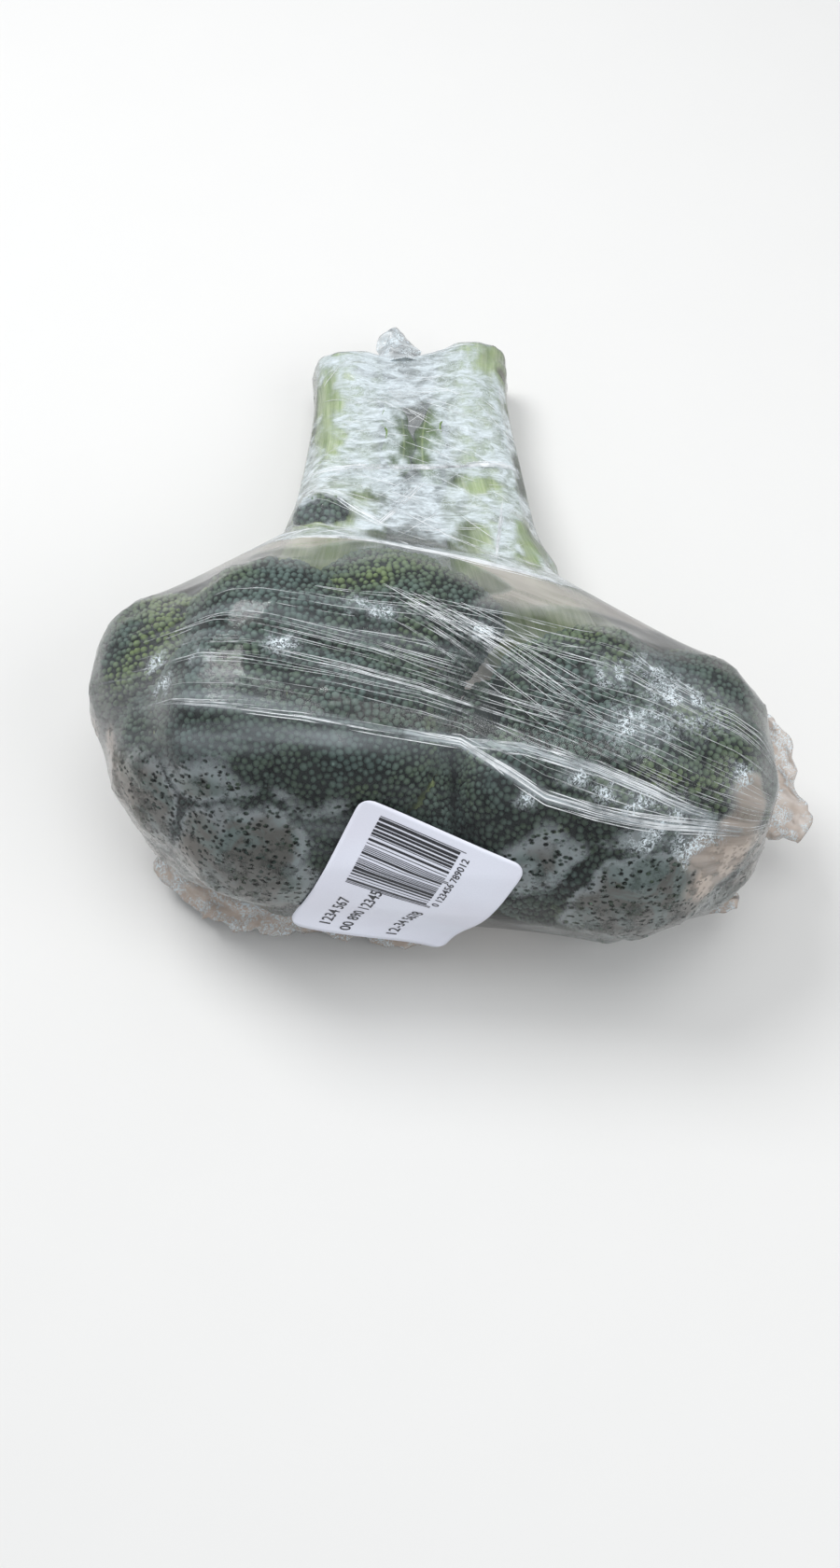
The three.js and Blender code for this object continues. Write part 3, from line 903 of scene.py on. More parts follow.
# Where the film over the stalks lies clear against what it wraps: x, y, half width, half length in mm.
WINDOWS = (
    (-42, 78, 7, 24), (-11, 64, 9, 17), (-40, 19, 13, 9), (-14, 8, 15, 6), (9, 14, 8, 10),
    (28, 12, 7, 14), (19, 106, 11, 12), (24, 86, 5, 9), (-27, 30, 9, 4), (12, 40, 11, 5), (27, 50, 5, 14),
)
# Loose corners and hems of film: points on the wrap, then as many on the loose edge, in mm.
LOOSE = (
    (((94, -44, 46), (97, -52, 44), (98, -60, 42), (97, -68, 38), (94, -78, 33), (90, -84, 30)),
     ((101, -48, 42), (107, -57, 38), (109, -68, 33), (113, -78, 30), (110, -87, 27), (99, -83, 26))),
    (((90, -84, 32), (86, -90, 28), (80, -94, 26), (72, -97, 26)),
     ((94, -88, 27), (93, -97, 22), (88, -105, 20), (77, -104, 20))),
    (((-92, -64, 24), (-90, -76, 20), (-84, -86, 20), (-76, -92, 20), (-64, -97, 20), (-50, -99, 20),
      (-34, -99, 18), (-18, -101, 18), (-2, -103, 18)),
     ((-97, -70, 12), (-94, -84, 11), (-90, -94, 10), (-82, -101, 9), (-70, -106, 8), (-54, -107, 7),
      (-36, -109, 6), (-18, -111, 6), (-2, -110, 6))),
    (((-24, 108, 25), (-19, 109, 27), (-14, 109, 27), (-9, 108, 25)),
     ((-25, 119, 21), (-20, 124, 22), (-14, 121, 21), (-9, 115, 20))),
)
# Lines of figures on the label: what they say, their height, and where they start, in mm.
FIGURES = (
    ("0 123456 789012", 3.0, 9.9, 1.5),
    ("1234 567", 4.8, -13.4, -25.0),
    ("00 890 12345", 4.8, -6.6, -26.0),
    ("12-34 5678", 4.8, 8.2, -26.0),
)
TURN = 180 / math.pi
FRONT_SPAN = 50  # degrees in front of the first pull curve over which the share falls from 0 to -1
PULL_WIDTH = 38 * MM  # over the crowns, from the first pull curve to the last
# The level line through both crowns' middles: a place on it, its height, and its slope of Y over X.
AXIS_X, AXIS_Y = -1.4 * MM, -66.2 * MM
AXIS_HEIGHT = 50 * MM
AXIS_SLOPE = -0.1616
# Across the front of the crowns, the angle below which the film is pressed on damp buds, at each x in mm.
PRESSED = ((-95, -60, -20, 0, 12, 30, 90), (58, 54, 40, 30, 36, 52, 52))
TWIST_X, TWIST_HALF = -12.7 * MM, 7.5 * MM  # the gathered end's middle and half width
TIE = (50 * MM, 70 * MM)  # behind the second Y the loose film is all the gathered end
ROOM_WHERE_EMPTY = 30 * MM  # the room under the film where nothing is near
FOLD_STEPS = 200  # places along a fold that its strands start and end at


class FilmSettings(bpy.types.PropertyGroup):
    voxel: FloatProperty(name="Voxel", description="Mesh size of the film", default=1.3 * MM, unit="LENGTH")
    clearance: FloatProperty(
        name="Clearance", description="Film's distance from what it touches", default=0.3 * MM, unit="LENGTH"
    )
    cling: FloatProperty(
        name="Cling", description="How deep the film sinks between buds", default=0.004 * MM, unit="LENGTH"
    )
    # The streaks are strands of painted highlight on the film.
    streaks: IntProperty(name="Streaks", description="Drawn streaks over the crowns", default=90)
    fans: IntProperty(name="Fan streaks", description="Streaks that fan from the middle fold", default=44)
    wraps: IntProperty(name="Stalk streaks", description="Drawn streaks round the stalks", default=190)
    # The milky haze colour, also the colour of the painted highlights.
    haze_and_highlight: FloatVectorProperty(
        name="Frost", description="White creases and haze", subtype="COLOR", default=(0.76, 0.85, 0.90)
    )
    damp: FloatVectorProperty(
        name="Damp", description="Film pressed on damp buds", subtype="COLOR", default=(0.092, 0.092, 0.085)
    )
    smear: FloatVectorProperty(
        name="Smear", description="Its wet patches", subtype="COLOR", default=(0.115, 0.150, 0.145)
    )
    shade: FloatVectorProperty(
        name="Layered film", description="Layers that stand off", subtype="COLOR", default=(0.60, 0.49, 0.41)
    )


def crown_axis(x):
    """The Y of the line through both crowns' middles."""
    return AXIS_Y + AXIS_SLOPE * (x - AXIS_X)


def crown_angle(co):
    """How far round the crowns' axis, in degrees from the front."""
    return TURN * np.arctan2(co[:, 2] - AXIS_HEIGHT, crown_axis(co[:, 0]) - co[:, 1])


def pull_table(x):
    """The angles of the pull curves at each x, and the curves' own shares."""
    rows = [np.interp(x / MM, *np.array(curve).T) for _, curve in PULL]
    return np.stack(rows, 1), np.array([share for share, _ in PULL])


def share_at(x, angle):
    """Which pull curve passes each place: 0 at the front fold and 1 at the back one."""
    table, shares = pull_table(x)
    share = (angle - table[:, 0]) / FRONT_SPAN
    for k in range(len(shares) - 1):
        low, high = table[:, k], table[:, k + 1]
        t = (angle - low) / (high - low)
        share = np.where(t > 0, shares[k] + t * (shares[k + 1] - shares[k]), share)
    return share


def angle_at(x, share):
    """The angle of a pull curve at each x."""
    table, shares = pull_table(x)
    angle = table[:, 0] + FRONT_SPAN * np.minimum(share, 0)
    for k in range(len(shares) - 1):
        t = (share - shares[k]) / (shares[k + 1] - shares[k])
        angle = np.where(t > 0, table[:, k] + t * (table[:, k + 1] - table[:, k]), angle)
    return angle


def crown_drape(tree, x, angle):
    """Where rays towards the crowns' axis first meet the film, and its normals there."""
    ray = np.stack([0 * angle, -np.cos(angle / TURN), np.sin(angle / TURN)], -1)
    start = np.stack([x, crown_axis(x), 0 * x + AXIS_HEIGHT], -1) + ray * 200 * MM
    return cast(tree, start, -ray)


def stalk_drape(tree, x, y):
    """Where rays from above meet the film, and its normals there."""
    start = np.stack([x, y, 0 * x + 200 * MM], -1)
    return cast(tree, start, np.broadcast_to([0.0, 0.0, -1.0], start.shape))


def cast(tree, start, ray):
    """Where rays meet a tree. A ray that misses takes the place before it."""
    at, normal = np.zeros(start.shape), np.zeros(start.shape)
    missed = np.zeros(start.shape[:-1], bool)
    for i in np.ndindex(start.shape[:-1]):
        hit = tree.ray_cast(Vector(start[i]), Vector(ray[i]))
        if hit[0] is None:
            missed[i] = True
        else:
            at[i], normal[i] = hit[0], hit[1]
            if Vector(ray[i]).dot(hit[1]) > 0:
                normal[i] *= -1
    return at, normal, missed


def along(points, count):
    """Even points on a polyline."""
    p = np.array(points, float)
    run = np.concatenate([[0], np.cumsum(np.linalg.norm(np.diff(p, axis=0), axis=1))])
    return np.stack([np.interp(np.linspace(0, run[-1], count), run, c) for c in p.T], 1)


def near_path(co, path, width):
    """1 on a path through the vertices' space, falling to 0 over a width."""
    tree = KDTree(len(path))
    for i, p in enumerate(path):
        tree.insert(p, i)
    tree.balance()
    away = np.array([tree.find(p)[2] for p in co])
    return np.exp(-((away / width) ** 2))


def neck_band():
    """The lowest and highest Y of the film's waist, behind the crowns."""
    low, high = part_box("left_side_floret")
    return low[1] - 16 * MM, high[1] - 8 * MM


def hull_of(points, name):
    """The tightest skin round some points."""
    ob = mesh_object(name, points, np.zeros(0), np.zeros(0, int))
    edit_all(ob, bpy.ops.mesh.convex_hull, join_triangles=False)
    return ob


def film_skin(s):
    """The film as one closed skin: tight round the crowns as far as the waist, and tight round the stalks."""
    cad = coords(frame["nodes"]["stretch_film"])
    low, high = neck_band()
    ends = [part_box(f"{head}_stalk")[1] for head in HEADS]
    twist = (np.abs(cad[:, 0] - TWIST_X) < TWIST_HALF) & (cad[:, 1] > min(e.y for e in ends) - 1 * MM)
    waist = (cad[:, 1] > low) & (cad[:, 1] < high - 2 * MM)
    floor = cad[:, 2] < 0.1 * MM
    crowns = [ob for node, ob in made.items() if "floret" in node and "side" not in node]
    buds = np.concatenate([coords(ob) for ob in crowns])
    outer = buds[np.random.default_rng(1).random(len(buds)) < 0.25]
    body = hull_of(np.concatenate([outer, cad[waist], cad[floor & (cad[:, 1] < low)]]), "crown_wrap")
    sleeve = hull_of(cad[(cad[:, 1] > low) & ~twist], "stalk_wrap")
    only(body)
    sleeve.select_set(True)
    bpy.ops.object.join()
    body.name = "stretch_film_skin"
    remesh(body, s.voxel, 7)
    return body


def sink(ob, s):
    """Draws the film in, like a stretched skin, until it meets what it wraps. Returns the room left."""
    co, no = coords(ob), vertex_normals(ob)
    inside = tree_of(made.values())
    outside, reach = 6 * MM, 40 * MM  # where the search for what is wrapped starts, and how far it looks
    room = np.full(len(co), ROOM_WHERE_EMPTY)
    for i in range(len(co)):
        start = Vector(co[i] + no[i] * outside)
        hit = inside.ray_cast(start, Vector(-no[i]), reach)
        if hit[0] is not None:
            room[i] = hit[3] - outside
    pairs = edges_of(ob)
    count = np.maximum(np.bincount(pairs.ravel(), minlength=len(co)), 1)
    limit = np.maximum(room - s.clearance, -1.5 * MM)
    limit[co[:, 2] < 1.2 * MM] = 0  # what lies on the counter stays flat on it
    depth = np.minimum(limit, 0)
    slack = s.cling * (1 + 2.4 * step(12 * MM, 30 * MM, co[:, 1] - waist_of(co[:, 0])))
    for _ in range(420):
        total = np.bincount(pairs[:, 0], depth[pairs[:, 1]], len(co))
        total += np.bincount(pairs[:, 1], depth[pairs[:, 0]], len(co))
        depth = np.minimum(limit, total / count + slack)
    put_coords(ob, co - no * depth[:, None])
    return np.maximum(room - depth, 0)


def waist_of(x):
    """The Y of the band where the crowns' wrap ends over the stalks' wrap."""
    return np.interp(x / MM, *np.array(STALK_FOLDS[1][0]).T) * MM


def crown_spot(tree, x, angle):
    """The place on the film at one x in mm and one angle, or None where there is no film."""
    at, _, missed = crown_drape(tree, np.array([x * MM]), np.array([float(angle)]))
    return None if missed[0] else at[0]


def paint_creases(co, tree):
    """The folds, over the crowns and over the stalks, each strongest along its middle. The material paints
    them white: a painted highlight, with some of the folded film's own whitening.
    """
    crease = np.zeros(len(co))
    for path, *_ in CROWN_FOLDS[:3]:
        line = along(path, 80)
        at, _, missed = crown_drape(tree, line[:, 0] * MM, line[:, 1])
        strength = 0.32 if path[0][0] < -50 else 0.6
        crease = np.maximum(crease, strength * near_path(co, at[~missed], 1.5 * MM))
    for path, _, stray, _ in STALK_FOLDS:
        line = along(path, 50) * MM
        at, _, missed = stalk_drape(tree, line[:, 0], line[:, 1])
        strength = 0.95 if len(path) > 2 else 0.7
        crease = np.maximum(crease, strength * near_path(co, at[~missed], (0.7 + stray) * MM))
    return crease


def paint_knots(co, tree):
    """The crumpled knots over the crowns, where the film's material paints glints."""
    knot = np.zeros(len(co))
    for x, angle, radius in KNOTS:
        spot = crown_spot(tree, x, angle)
        if spot is not None:
            away = np.linalg.norm((co - spot) * (1, 1.3, 1.3), axis=1)
            knot = np.maximum(knot, np.exp(-((away / (radius * MM)) ** 2)))
    return knot


def paint_windows(co, no):
    """The clear places over the stalks, with frayed edges."""
    window = np.zeros(len(co))
    fray = 0.3 * ripple(co, 7 * MM, 31) + 0.22 * ripple(co, 3 * MM, 32)
    for x, y, half, tall in WINDOWS:
        away = np.hypot((co[:, 0] / MM - x) / half, (co[:, 1] / MM - y) / tall)
        window = np.maximum(window, 1 - step(0.45, 1.25, away + fray))
    return window * step(0.1, 0.4, no[:, 2])


def paint_standing(co, no, pairs, room, tree, rim, sleeve):
    """Where layers stand off what they wrap, and so look beige: shoulders, hem, ends and pockets."""
    crowns = 1 - sleeve
    back = co[:, 1] - crown_axis(co[:, 0])
    loose = step(5 * MM, 16 * MM, averaged(room, pairs, 8))
    shoulder = loose * step(24 * MM, 40 * MM, back) * crowns
    hem = step(2 * MM, 6 * MM, averaged(room, pairs, 4)) * (1 - step(14 * MM, 34 * MM, co[:, 2])) * crowns
    ends = averaged(step(0.45, 0.95, np.abs(no[:, 0])), pairs, 30) * crowns
    beige = np.maximum.reduce([0.8 * shoulder, 0.8 * hem, 0.45 * rim * sleeve, 0.42 * ends])
    for x, angle, radius in POCKETS:
        away = np.linalg.norm(co - crown_spot(tree, x, angle), axis=1) / (radius * MM)
        beige = np.maximum(beige, 0.85 * (1 - step(0.6, 1.2, away + 0.25 * ripple(co, 6 * MM, 33))))
    return beige


def paint_film(ob, room):
    """Stores what the film's material reads: its folds, haze, pressed patches, crumples and streaks."""
    co, no, pairs = coords(ob), vertex_normals(ob), edges_of(ob)
    x, y = co[:, 0], co[:, 1]
    sleeve = step(-1.2 * MM, 1.2 * MM, y - waist_of(x))
    crowns = 1 - sleeve
    angle = crown_angle(co)
    share = share_at(x, angle)
    tree = tree_of([ob])
    window = paint_windows(co, no)
    rim = 1 - step(0.18, 0.6, no[:, 2])
    beige = paint_standing(co, no, pairs, room, tree, rim, sleeve)
    milky = sleeve * (1 - 0.85 * window) * (1 - 0.35 * rim)
    touching = 1 - step(1.2 * MM, 4 * MM, averaged(room, pairs, 3))
    line = np.interp(x / MM, *PRESSED)
    press = step(0, 16, line - angle + 7 * ripple(co, 12 * MM, 41)) * touching * crowns
    # Crumples, where the material paints glints: the knots, and all the sleeve outside its windows.
    crumple = np.maximum(paint_knots(co, tree), 0.6 * sleeve * (1 - 0.8 * window))
    pulled = step(-0.12, 0.05, share) * (1 - step(1.05, 1.35, share)) * crowns
    layers = crowns * step(-0.05, 0.06, share)
    for fog_x, fog_angle, radius, strength in FOG:
        away = np.linalg.norm((co - crown_spot(tree, fog_x, fog_angle)) * (0.7, 1, 1), axis=1)
        near = np.exp(-((away / (radius * MM)) ** 2))
        layers = np.maximum(layers + strength * near * crowns, 0)
        pulled = pulled * (1 + min(strength, 0) * near)
    set_attribute(ob, "veil", np.stack([paint_creases(co, tree), beige, milky, layers], 1))
    set_attribute(ob, "state", np.stack([press, crumple, pulled, sleeve], 1))
    flow = np.stack([x, PULL_WIDTH * share, 0 * x], 1)
    set_attribute(ob, "flow", np.where(sleeve[:, None] > 0.5, co[:, [1, 0, 2]], flow))


def film_painted_highlights(n, fine, where, bent):
    """Painted highlights in the film, from 0 to 1: glints along drawn streaks, folds and crumpled knots, with
    some of the folded film's own whitening.
    """
    flow, here = n.attribute("flow", "Vector"), n.objects()
    crease = n.split(n.attribute("veil", "Color"))[0]
    crumple = n.split(n.attribute("state", "Color"))[1]
    broad = n.noise(n.mapped(flow, (10, 650, 300)), 1.0, 2, 0.5, 0.1)
    narrow = n.math("MULTIPLY", n.range(fine, 0.63, 0.68), where)
    wide = n.math("MULTIPLY", n.range(broad, 0.60, 0.80), where)
    # Painted highlights along the drawn streaks.
    streak = n.math("MAXIMUM", n.math("MULTIPLY", narrow, 0.3), n.math("MULTIPLY", wide, 0.09))
    ridges = n.range(n.math("ABSOLUTE", n.math("SUBTRACT", bent, 0.5)), 0.0, 0.035, 1.0, 0.0)
    patchy = n.range(n.noise(here, 190, 2), 0.38, 0.56)
    glint = n.math("MAXIMUM", ridges, n.range(n.noise(here, 700, 3, 0.6, 2.0), 0.51, 0.60))
    # Crumpled knots and the sleeve's crumples: painted glints.
    knots = n.math("MULTIPLY", crumple, n.math("ADD", n.math("MULTIPLY", glint, patchy), 0.2))
    frayed = n.range(n.noise(n.mapped(flow, (60, 900, 400)), 1.0, 3, 0.6), 0.3, 0.66, 0.25, 1.0)
    return n.math("MAXIMUM", n.math("MAXIMUM", streak, n.math("MULTIPLY", crease, frayed)), knots)


def film_haze(n):
    """How much the film hides: milky over the stalks, beige where it stands off, damp where it is pressed."""
    flow, here = n.attribute("flow", "Vector"), n.objects()
    veil = n.split(n.attribute("veil", "Color"))
    beige, milky = veil[1], veil[2]
    press = n.split(n.attribute("state", "Color"))[0]
    wisps = n.noise(n.mapped(here, (120, 240, 200), (0, 0, -0.35)), 1.0, 5, 0.66, 0.7)
    strokes = n.noise(n.mapped(here, (330, 1100, 500), (0, 0, -0.45)), 1.0, 3, 0.6, 0.8)
    milk = n.math("MULTIPLY", milky, n.range(wisps, 0.36, 0.62, 0.34, 0.9))
    milk = n.math("MULTIPLY", milk, n.range(strokes, 0.35, 0.7, 0.82, 1.12))
    drawn = n.range(n.noise(n.mapped(flow, (30, 240, 90)), 1.0, 3), 0.3, 0.7, 0.42, 0.75)
    mist = n.math("MAXIMUM", milk, n.math("MULTIPLY", beige, drawn))
    patches = n.range(n.noise(here, 150, 4, 0.62), 0.36, 0.52, 0.4, 0.88)
    specks = n.range(n.cells(n.mapped(here, (480, 680, 680)), 1.0), 0.26, 0.5)
    holes = n.math("MAXIMUM", specks, n.range(n.noise(here, 420, 3), 0.5, 0.6, 0.0, 0.95))
    dew = n.math("MULTIPLY", press, n.math("MULTIPLY", patches, holes))
    uneven = n.range(n.noise(n.mapped(flow, (9, 130, 60)), 1.0, 3), 0.4, 0.75, 0.0, 0.07)
    layers = n.math("MULTIPLY", n.attribute("veil", "Alpha"), uneven)
    return n.math("MAXIMUM", n.math("MAXIMUM", mist, dew), n.math("ADD", layers, 0.02))


def film_material(s):
    """Clear film: see-through and glossy, with damp patches, and white painted highlights on its drawn
    streaks and crumples.
    """
    n = Nodes("stretch film")
    flow, here = n.attribute("flow", "Vector"), n.objects()
    beige = n.split(n.attribute("veil", "Color"))[1]
    state = n.split(n.attribute("state", "Color"))
    press, crumple, pulled = state[0], state[1], state[2]
    fine = n.noise(n.mapped(flow, (24, 2100, 900)), 1.0, 2, 0.5, 0.15)
    bands = n.noise(n.mapped(flow, (8, 60, 30)), 1.0, 2)
    where = n.math("MULTIPLY", n.range(bands, 0.47, 0.66), pulled)
    bent = n.noise(here, 330, 3, 0.6, 1.6)
    # white: the painted highlights, which also make the film less see-through where they lie.
    white = film_painted_highlights(n, fine, where, bent)
    total = n.math("MAXIMUM", film_haze(n), white, True)

    wet = n.mix(n.range(n.noise(here, 85, 4, 0.65, 0.6), 0.44, 0.58), rgba(s.damp), rgba(s.smear))
    tint = n.mix(press, rgba(s.haze_and_highlight), wet)
    tint = n.mix(beige, tint, rgba(s.shade))
    # Painted highlights take the haze and highlight colour.
    colour = n.mix(n.range(white, 0.1, 0.5), tint, rgba(s.haze_and_highlight))
    crumples = n.math("MULTIPLY", bent, n.math("ADD", crumple, 0.02))
    normal = n.bump(n.math("ADD", n.math("MULTIPLY", fine, where), crumples), 0.5 * MM, 0.8)

    body = n.surface(colour, 0.3, normal, Specular_IOR_Level=0.5)
    cover = n.layered(total, n.see_through(), body)
    gloss = n.add("ShaderNodeBsdfGlossy")
    n.put(gloss.inputs["Roughness"], 0.14)
    n.put(gloss.inputs["Normal"], normal)
    edge = n.add("ShaderNodeFresnel")
    n.put(edge.inputs["IOR"], 1.36)
    n.put(edge.inputs["Normal"], normal)
    return n.finish(n.layered(edge.outputs[0], cover, gloss.outputs[0]))


def streak_highlight_material():
    """A drawn streak of painted highlight: white and glossy, fading and breaking along its length."""
    n = Nodes("film highlight strands")
    here = n.objects()
    broken = n.range(n.noise(here, 80, 3, 0.65), 0.34, 0.58, 0.08, 0.95)
    tone = n.mix(n.noise(here, 900, 2), (0.84, 0.89, 0.93, 1), (0.97, 0.99, 1.0, 1))
    body = n.surface(tone, 0.25, n.bump(n.noise(here, 1600, 2), 0.1 * MM, 0.5), Specular_IOR_Level=0.7)
    return n.finish(n.layered(broken, n.see_through(), body))


def ribbons(at, normal, width):
    """Closed flat strands along rows of points, each lying on a surface with its ends drawn to points."""
    strands, count = at.shape[:2]
    taper = np.clip(np.minimum(np.linspace(0, 1, count), np.linspace(1, 0, count)) * 8, 0.05, 1)
    half = (width[:, None] * taper[None])[..., None] / 2
    tangent = unit(np.gradient(at, axis=1))
    side = unit(np.cross(tangent, normal))
    rise = normal * 0.08 * MM
    ring = np.stack([at - side * half, at + rise + normal * half * 0.5, at + side * half, at - rise], 2)
    index = np.arange(strands * count * 4).reshape(strands, count, 4)
    here, there = index[:, :-1], index[:, 1:]
    quads = np.stack([here, np.roll(here, -1, 2), np.roll(there, -1, 2), there], -1).reshape(-1, 4)
    caps = np.concatenate([index[:, 0, ::-1], index[:, -1]])
    return ring.reshape(-1, 3), np.concatenate([quads, caps])


def fold_strands(folds, latest, lengths, wander, rng, t):
    """Strands along folds, one after another: the two numbers of each place along it, and its width."""
    for path, strands, stray, width in folds:
        whole = along(path, FOLD_STEPS)
        for _ in range(strands):
            low = rng.uniform(0, latest)
            high = min(low + rng.uniform(*lengths), 1)
            pick = (low + t * (high - low)) * (FOLD_STEPS - 1)
            x, other = (np.interp(pick, np.arange(FOLD_STEPS), whole[:, k]) for k in (0, 1))
            drift = rng.normal(scale=stray) + rng.normal(scale=wander * stray) * t
            yield x, other + drift, width * rng.uniform(0.5, 1.3)


def crown_strands(tree, s, rng, count):
    """Rows of points and normals for every streak over the crowns, and their widths."""
    strands = []
    t = np.linspace(0, 1, count)
    for _ in range(s.streaks):
        start = rng.uniform(-92, 62)
        length = min(rng.gamma(2.2, 17) + 8, 92 - start)
        x = start + t * length
        share = rng.uniform(0.0, 1.12) ** 0.9 + rng.normal(scale=0.035) * (t - 0.5)
        strands.append((x, angle_at(x * MM, share), rng.uniform(0.07, 0.18)))
    for _ in range(s.fans):
        start, high = rng.uniform(-20, 8), rng.uniform(108, 126)
        run = rng.uniform(16, 46)
        fall = run * rng.uniform(0.45, 0.85)
        strands.append((start + t * run, high - fall * t**1.15, rng.uniform(0.08, 0.18)))
    strands += fold_strands(CROWN_FOLDS, 0.85, (0.08, 0.5), 0.5, rng, t)
    x, angle, width = (np.array(values) for values in zip(*strands))
    return (*crown_drape(tree, x * MM, angle), width * MM)


def stalk_strands(tree, s, rng, count):
    """The same for the streaks round the stalks and the bands at the neck."""
    strands = []
    t = np.linspace(0, 1, count)
    leans = ((-0.3, 0.12), (-0.7, 0.2), (0.9, 0.3), (0, 0.1))
    for _ in range(s.wraps):
        x, y = rng.uniform(-52, 32), rng.uniform(2, 124)
        lean = rng.choice([rng.normal(*way) for way in leans])
        length = rng.uniform(4, 20)
        run = (t - 0.5) * length
        bow = rng.normal(scale=1.2) * t * (1 - t)
        strands.append((x + run, y + lean * run + bow, rng.uniform(0.1, 0.24)))
    strands += fold_strands(STALK_FOLDS, 0.6, (0.2, 0.9), 0.4, rng, t)
    x, y, width = (np.array(values) for values in zip(*strands))
    return (*stalk_drape(tree, x * MM, y * MM), width * MM)


def draw_highlight_strands(film, s, rng):
    """Every streak and fold strand of painted highlight as one mesh, lying on the film. One that leaves it is
    left out.
    """
    tree = tree_of([film])
    parts, faces, base = [], [], 0
    for at, normal, missed, width in (crown_strands(tree, s, rng, 40), stalk_strands(tree, s, rng, 24)):
        farthest = np.linalg.norm(np.diff(at, axis=1), axis=2).max(1)
        keep = ~missed.any(1) & (farthest < 9 * MM)
        co, quads = ribbons(at[keep], normal[keep], width[keep])
        parts.append(co)
        faces.append(quads + base)
        base += len(co)
    quads = np.concatenate(faces)
    return mesh_object("film_highlight_strands", np.concatenate(parts), quads.ravel(), np.full(len(quads), 4))


def crumpled(flat):
    """How far crumples move some points, in mm, as one row each."""
    waves = [ripple(flat, 6 * MM, k) * 1.5 + ripple(flat, 2.6 * MM, k + 9) * 0.45 for k in (51, 52, 53)]
    return np.array(waves).T


def loose_film():
    """The crumpled corners, hems and gathered end that stand off the wrap."""
    parts, faces, base = [], [], 0
    rows, columns = 22, 90
    for inner, outer in LOOSE:
        a, b = along(inner, columns) * MM, along(outer, columns) * MM
        t = np.linspace(-0.25, 1, rows)[:, None, None]
        sheet = a[None] * (1 - t) + b[None] * t
        flat = sheet.reshape(-1, 3)
        free = np.clip(np.repeat(t.ravel(), columns), 0, 1)
        flat = flat + crumpled(flat) * (0.15 + 0.85 * free)[:, None] * MM
        flat[:, 2] = np.maximum(flat[:, 2], 1.2 * MM)
        parts.append(flat)
        faces.append(grid_faces(rows, columns) + base)
        base += len(flat)
    quads = np.concatenate(faces)
    ob = mesh_object("film_loose_edges", np.concatenate(parts), quads.ravel(), np.full(len(quads), 4))
    thicken(ob, 0.2 * MM)
    co = coords(ob)
    end = step(*TIE, co[:, 1])  # the gathered end is whiter than the corners and hems
    set_attribute(ob, "veil", np.stack([0 * end, 1 - 0.8 * end, 0.9 * end, 0 * end], 1))
    # Painted glints over all the loose film, strongest at the gathered end.
    set_attribute(ob, "state", np.stack([0 * end, 0.6 + 0.4 * end, 0 * end, 0 * end], 1))
    set_attribute(ob, "flow", co)
    return ob


class BROCCOLI_OT_film(bpy.types.Operator):
    """Wrap everything in stretch film, drawn tight, with its folds, streaks of painted highlight and loose
    corners
    """

    bl_idname = "broccoli.film"
    bl_label = "Film"

    def execute(self, context):
        s = context.scene.broccoli_film
        rng = np.random.default_rng(21)
        skin = film_skin(s)
        paint_film(skin, sink(skin, s))
        material = film_material(s)
        made["film"] = finish_piece(skin, material, "clear_film", "stretch_film")
        finish_piece(draw_highlight_strands(skin, s, rng), streak_highlight_material(), "clear_film", "stretch_film")
        finish_piece(loose_film(), material, "clear_film", "stretch_film")
        return {"FINISHED"}


# ---- Label -----------------------------------------------------------------------------------------


LABEL_MIDDLE = np.array([-13.7, -119.1, 60.8]) * MM
LABEL_FACING = np.array([-0.02, -0.86, 0.5])
BAR_UNITS = 95  # how many of the narrowest bars the bars' whole width holds


class LabelSettings(bpy.types.PropertyGroup):
    width: FloatProperty(name="Width", description="The label's width", default=50 * MM, unit="LENGTH")
    length: FloatProperty(name="Length", description="The label's length", default=56 * MM, unit="LENGTH")
    corner: FloatProperty(name="Corner", description="Its corners' radius", default=4 * MM, unit="LENGTH")
    turn: FloatProperty(
        name="Turn", description="How it is turned on the wrap", default=math.radians(-24), unit="ROTATION"
    )
    bar: FloatProperty(
        name="Bar", description="Width of the narrowest bar", default=0.262 * MM, unit="LENGTH"
    )
    paper: FloatVectorProperty(
        name="Paper", description="The label's paper", subtype="COLOR", default=(0.86, 0.89, 1.0)
    )
    ink: FloatVectorProperty(
        name="Ink", description="Its print", subtype="COLOR", default=(0.022, 0.024, 0.03)
    )


def label_material(s):
    """Slightly glossy thermal paper."""
    n = Nodes("label paper")
    here = n.objects()
    grain = n.noise(here, 2600, 3)
    colour = n.mix(n.range(grain, 0.3, 0.7, 0.0, 0.10), rgba(s.paper), (0.60, 0.62, 0.74, 1))
    colour = n.mix(n.range(n.noise(here, 40, 2), 0.4, 0.7, 0.0, 0.25), colour, (0.74, 0.70, 0.80, 1))
    return n.finish(n.surface(colour, 0.4, n.bump(grain, 0.03 * MM, 0.4)))


def ink_material(s):
    """Thermal print, a little uneven."""
    n = Nodes("label ink")
    worn = n.range(n.noise(n.objects(), 1800, 3), 0.5, 0.8, 0.0, 0.3)
    return n.finish(n.surface(n.mix(worn, rgba(s.ink), (0.2, 0.2, 0.24, 1)), 0.5))


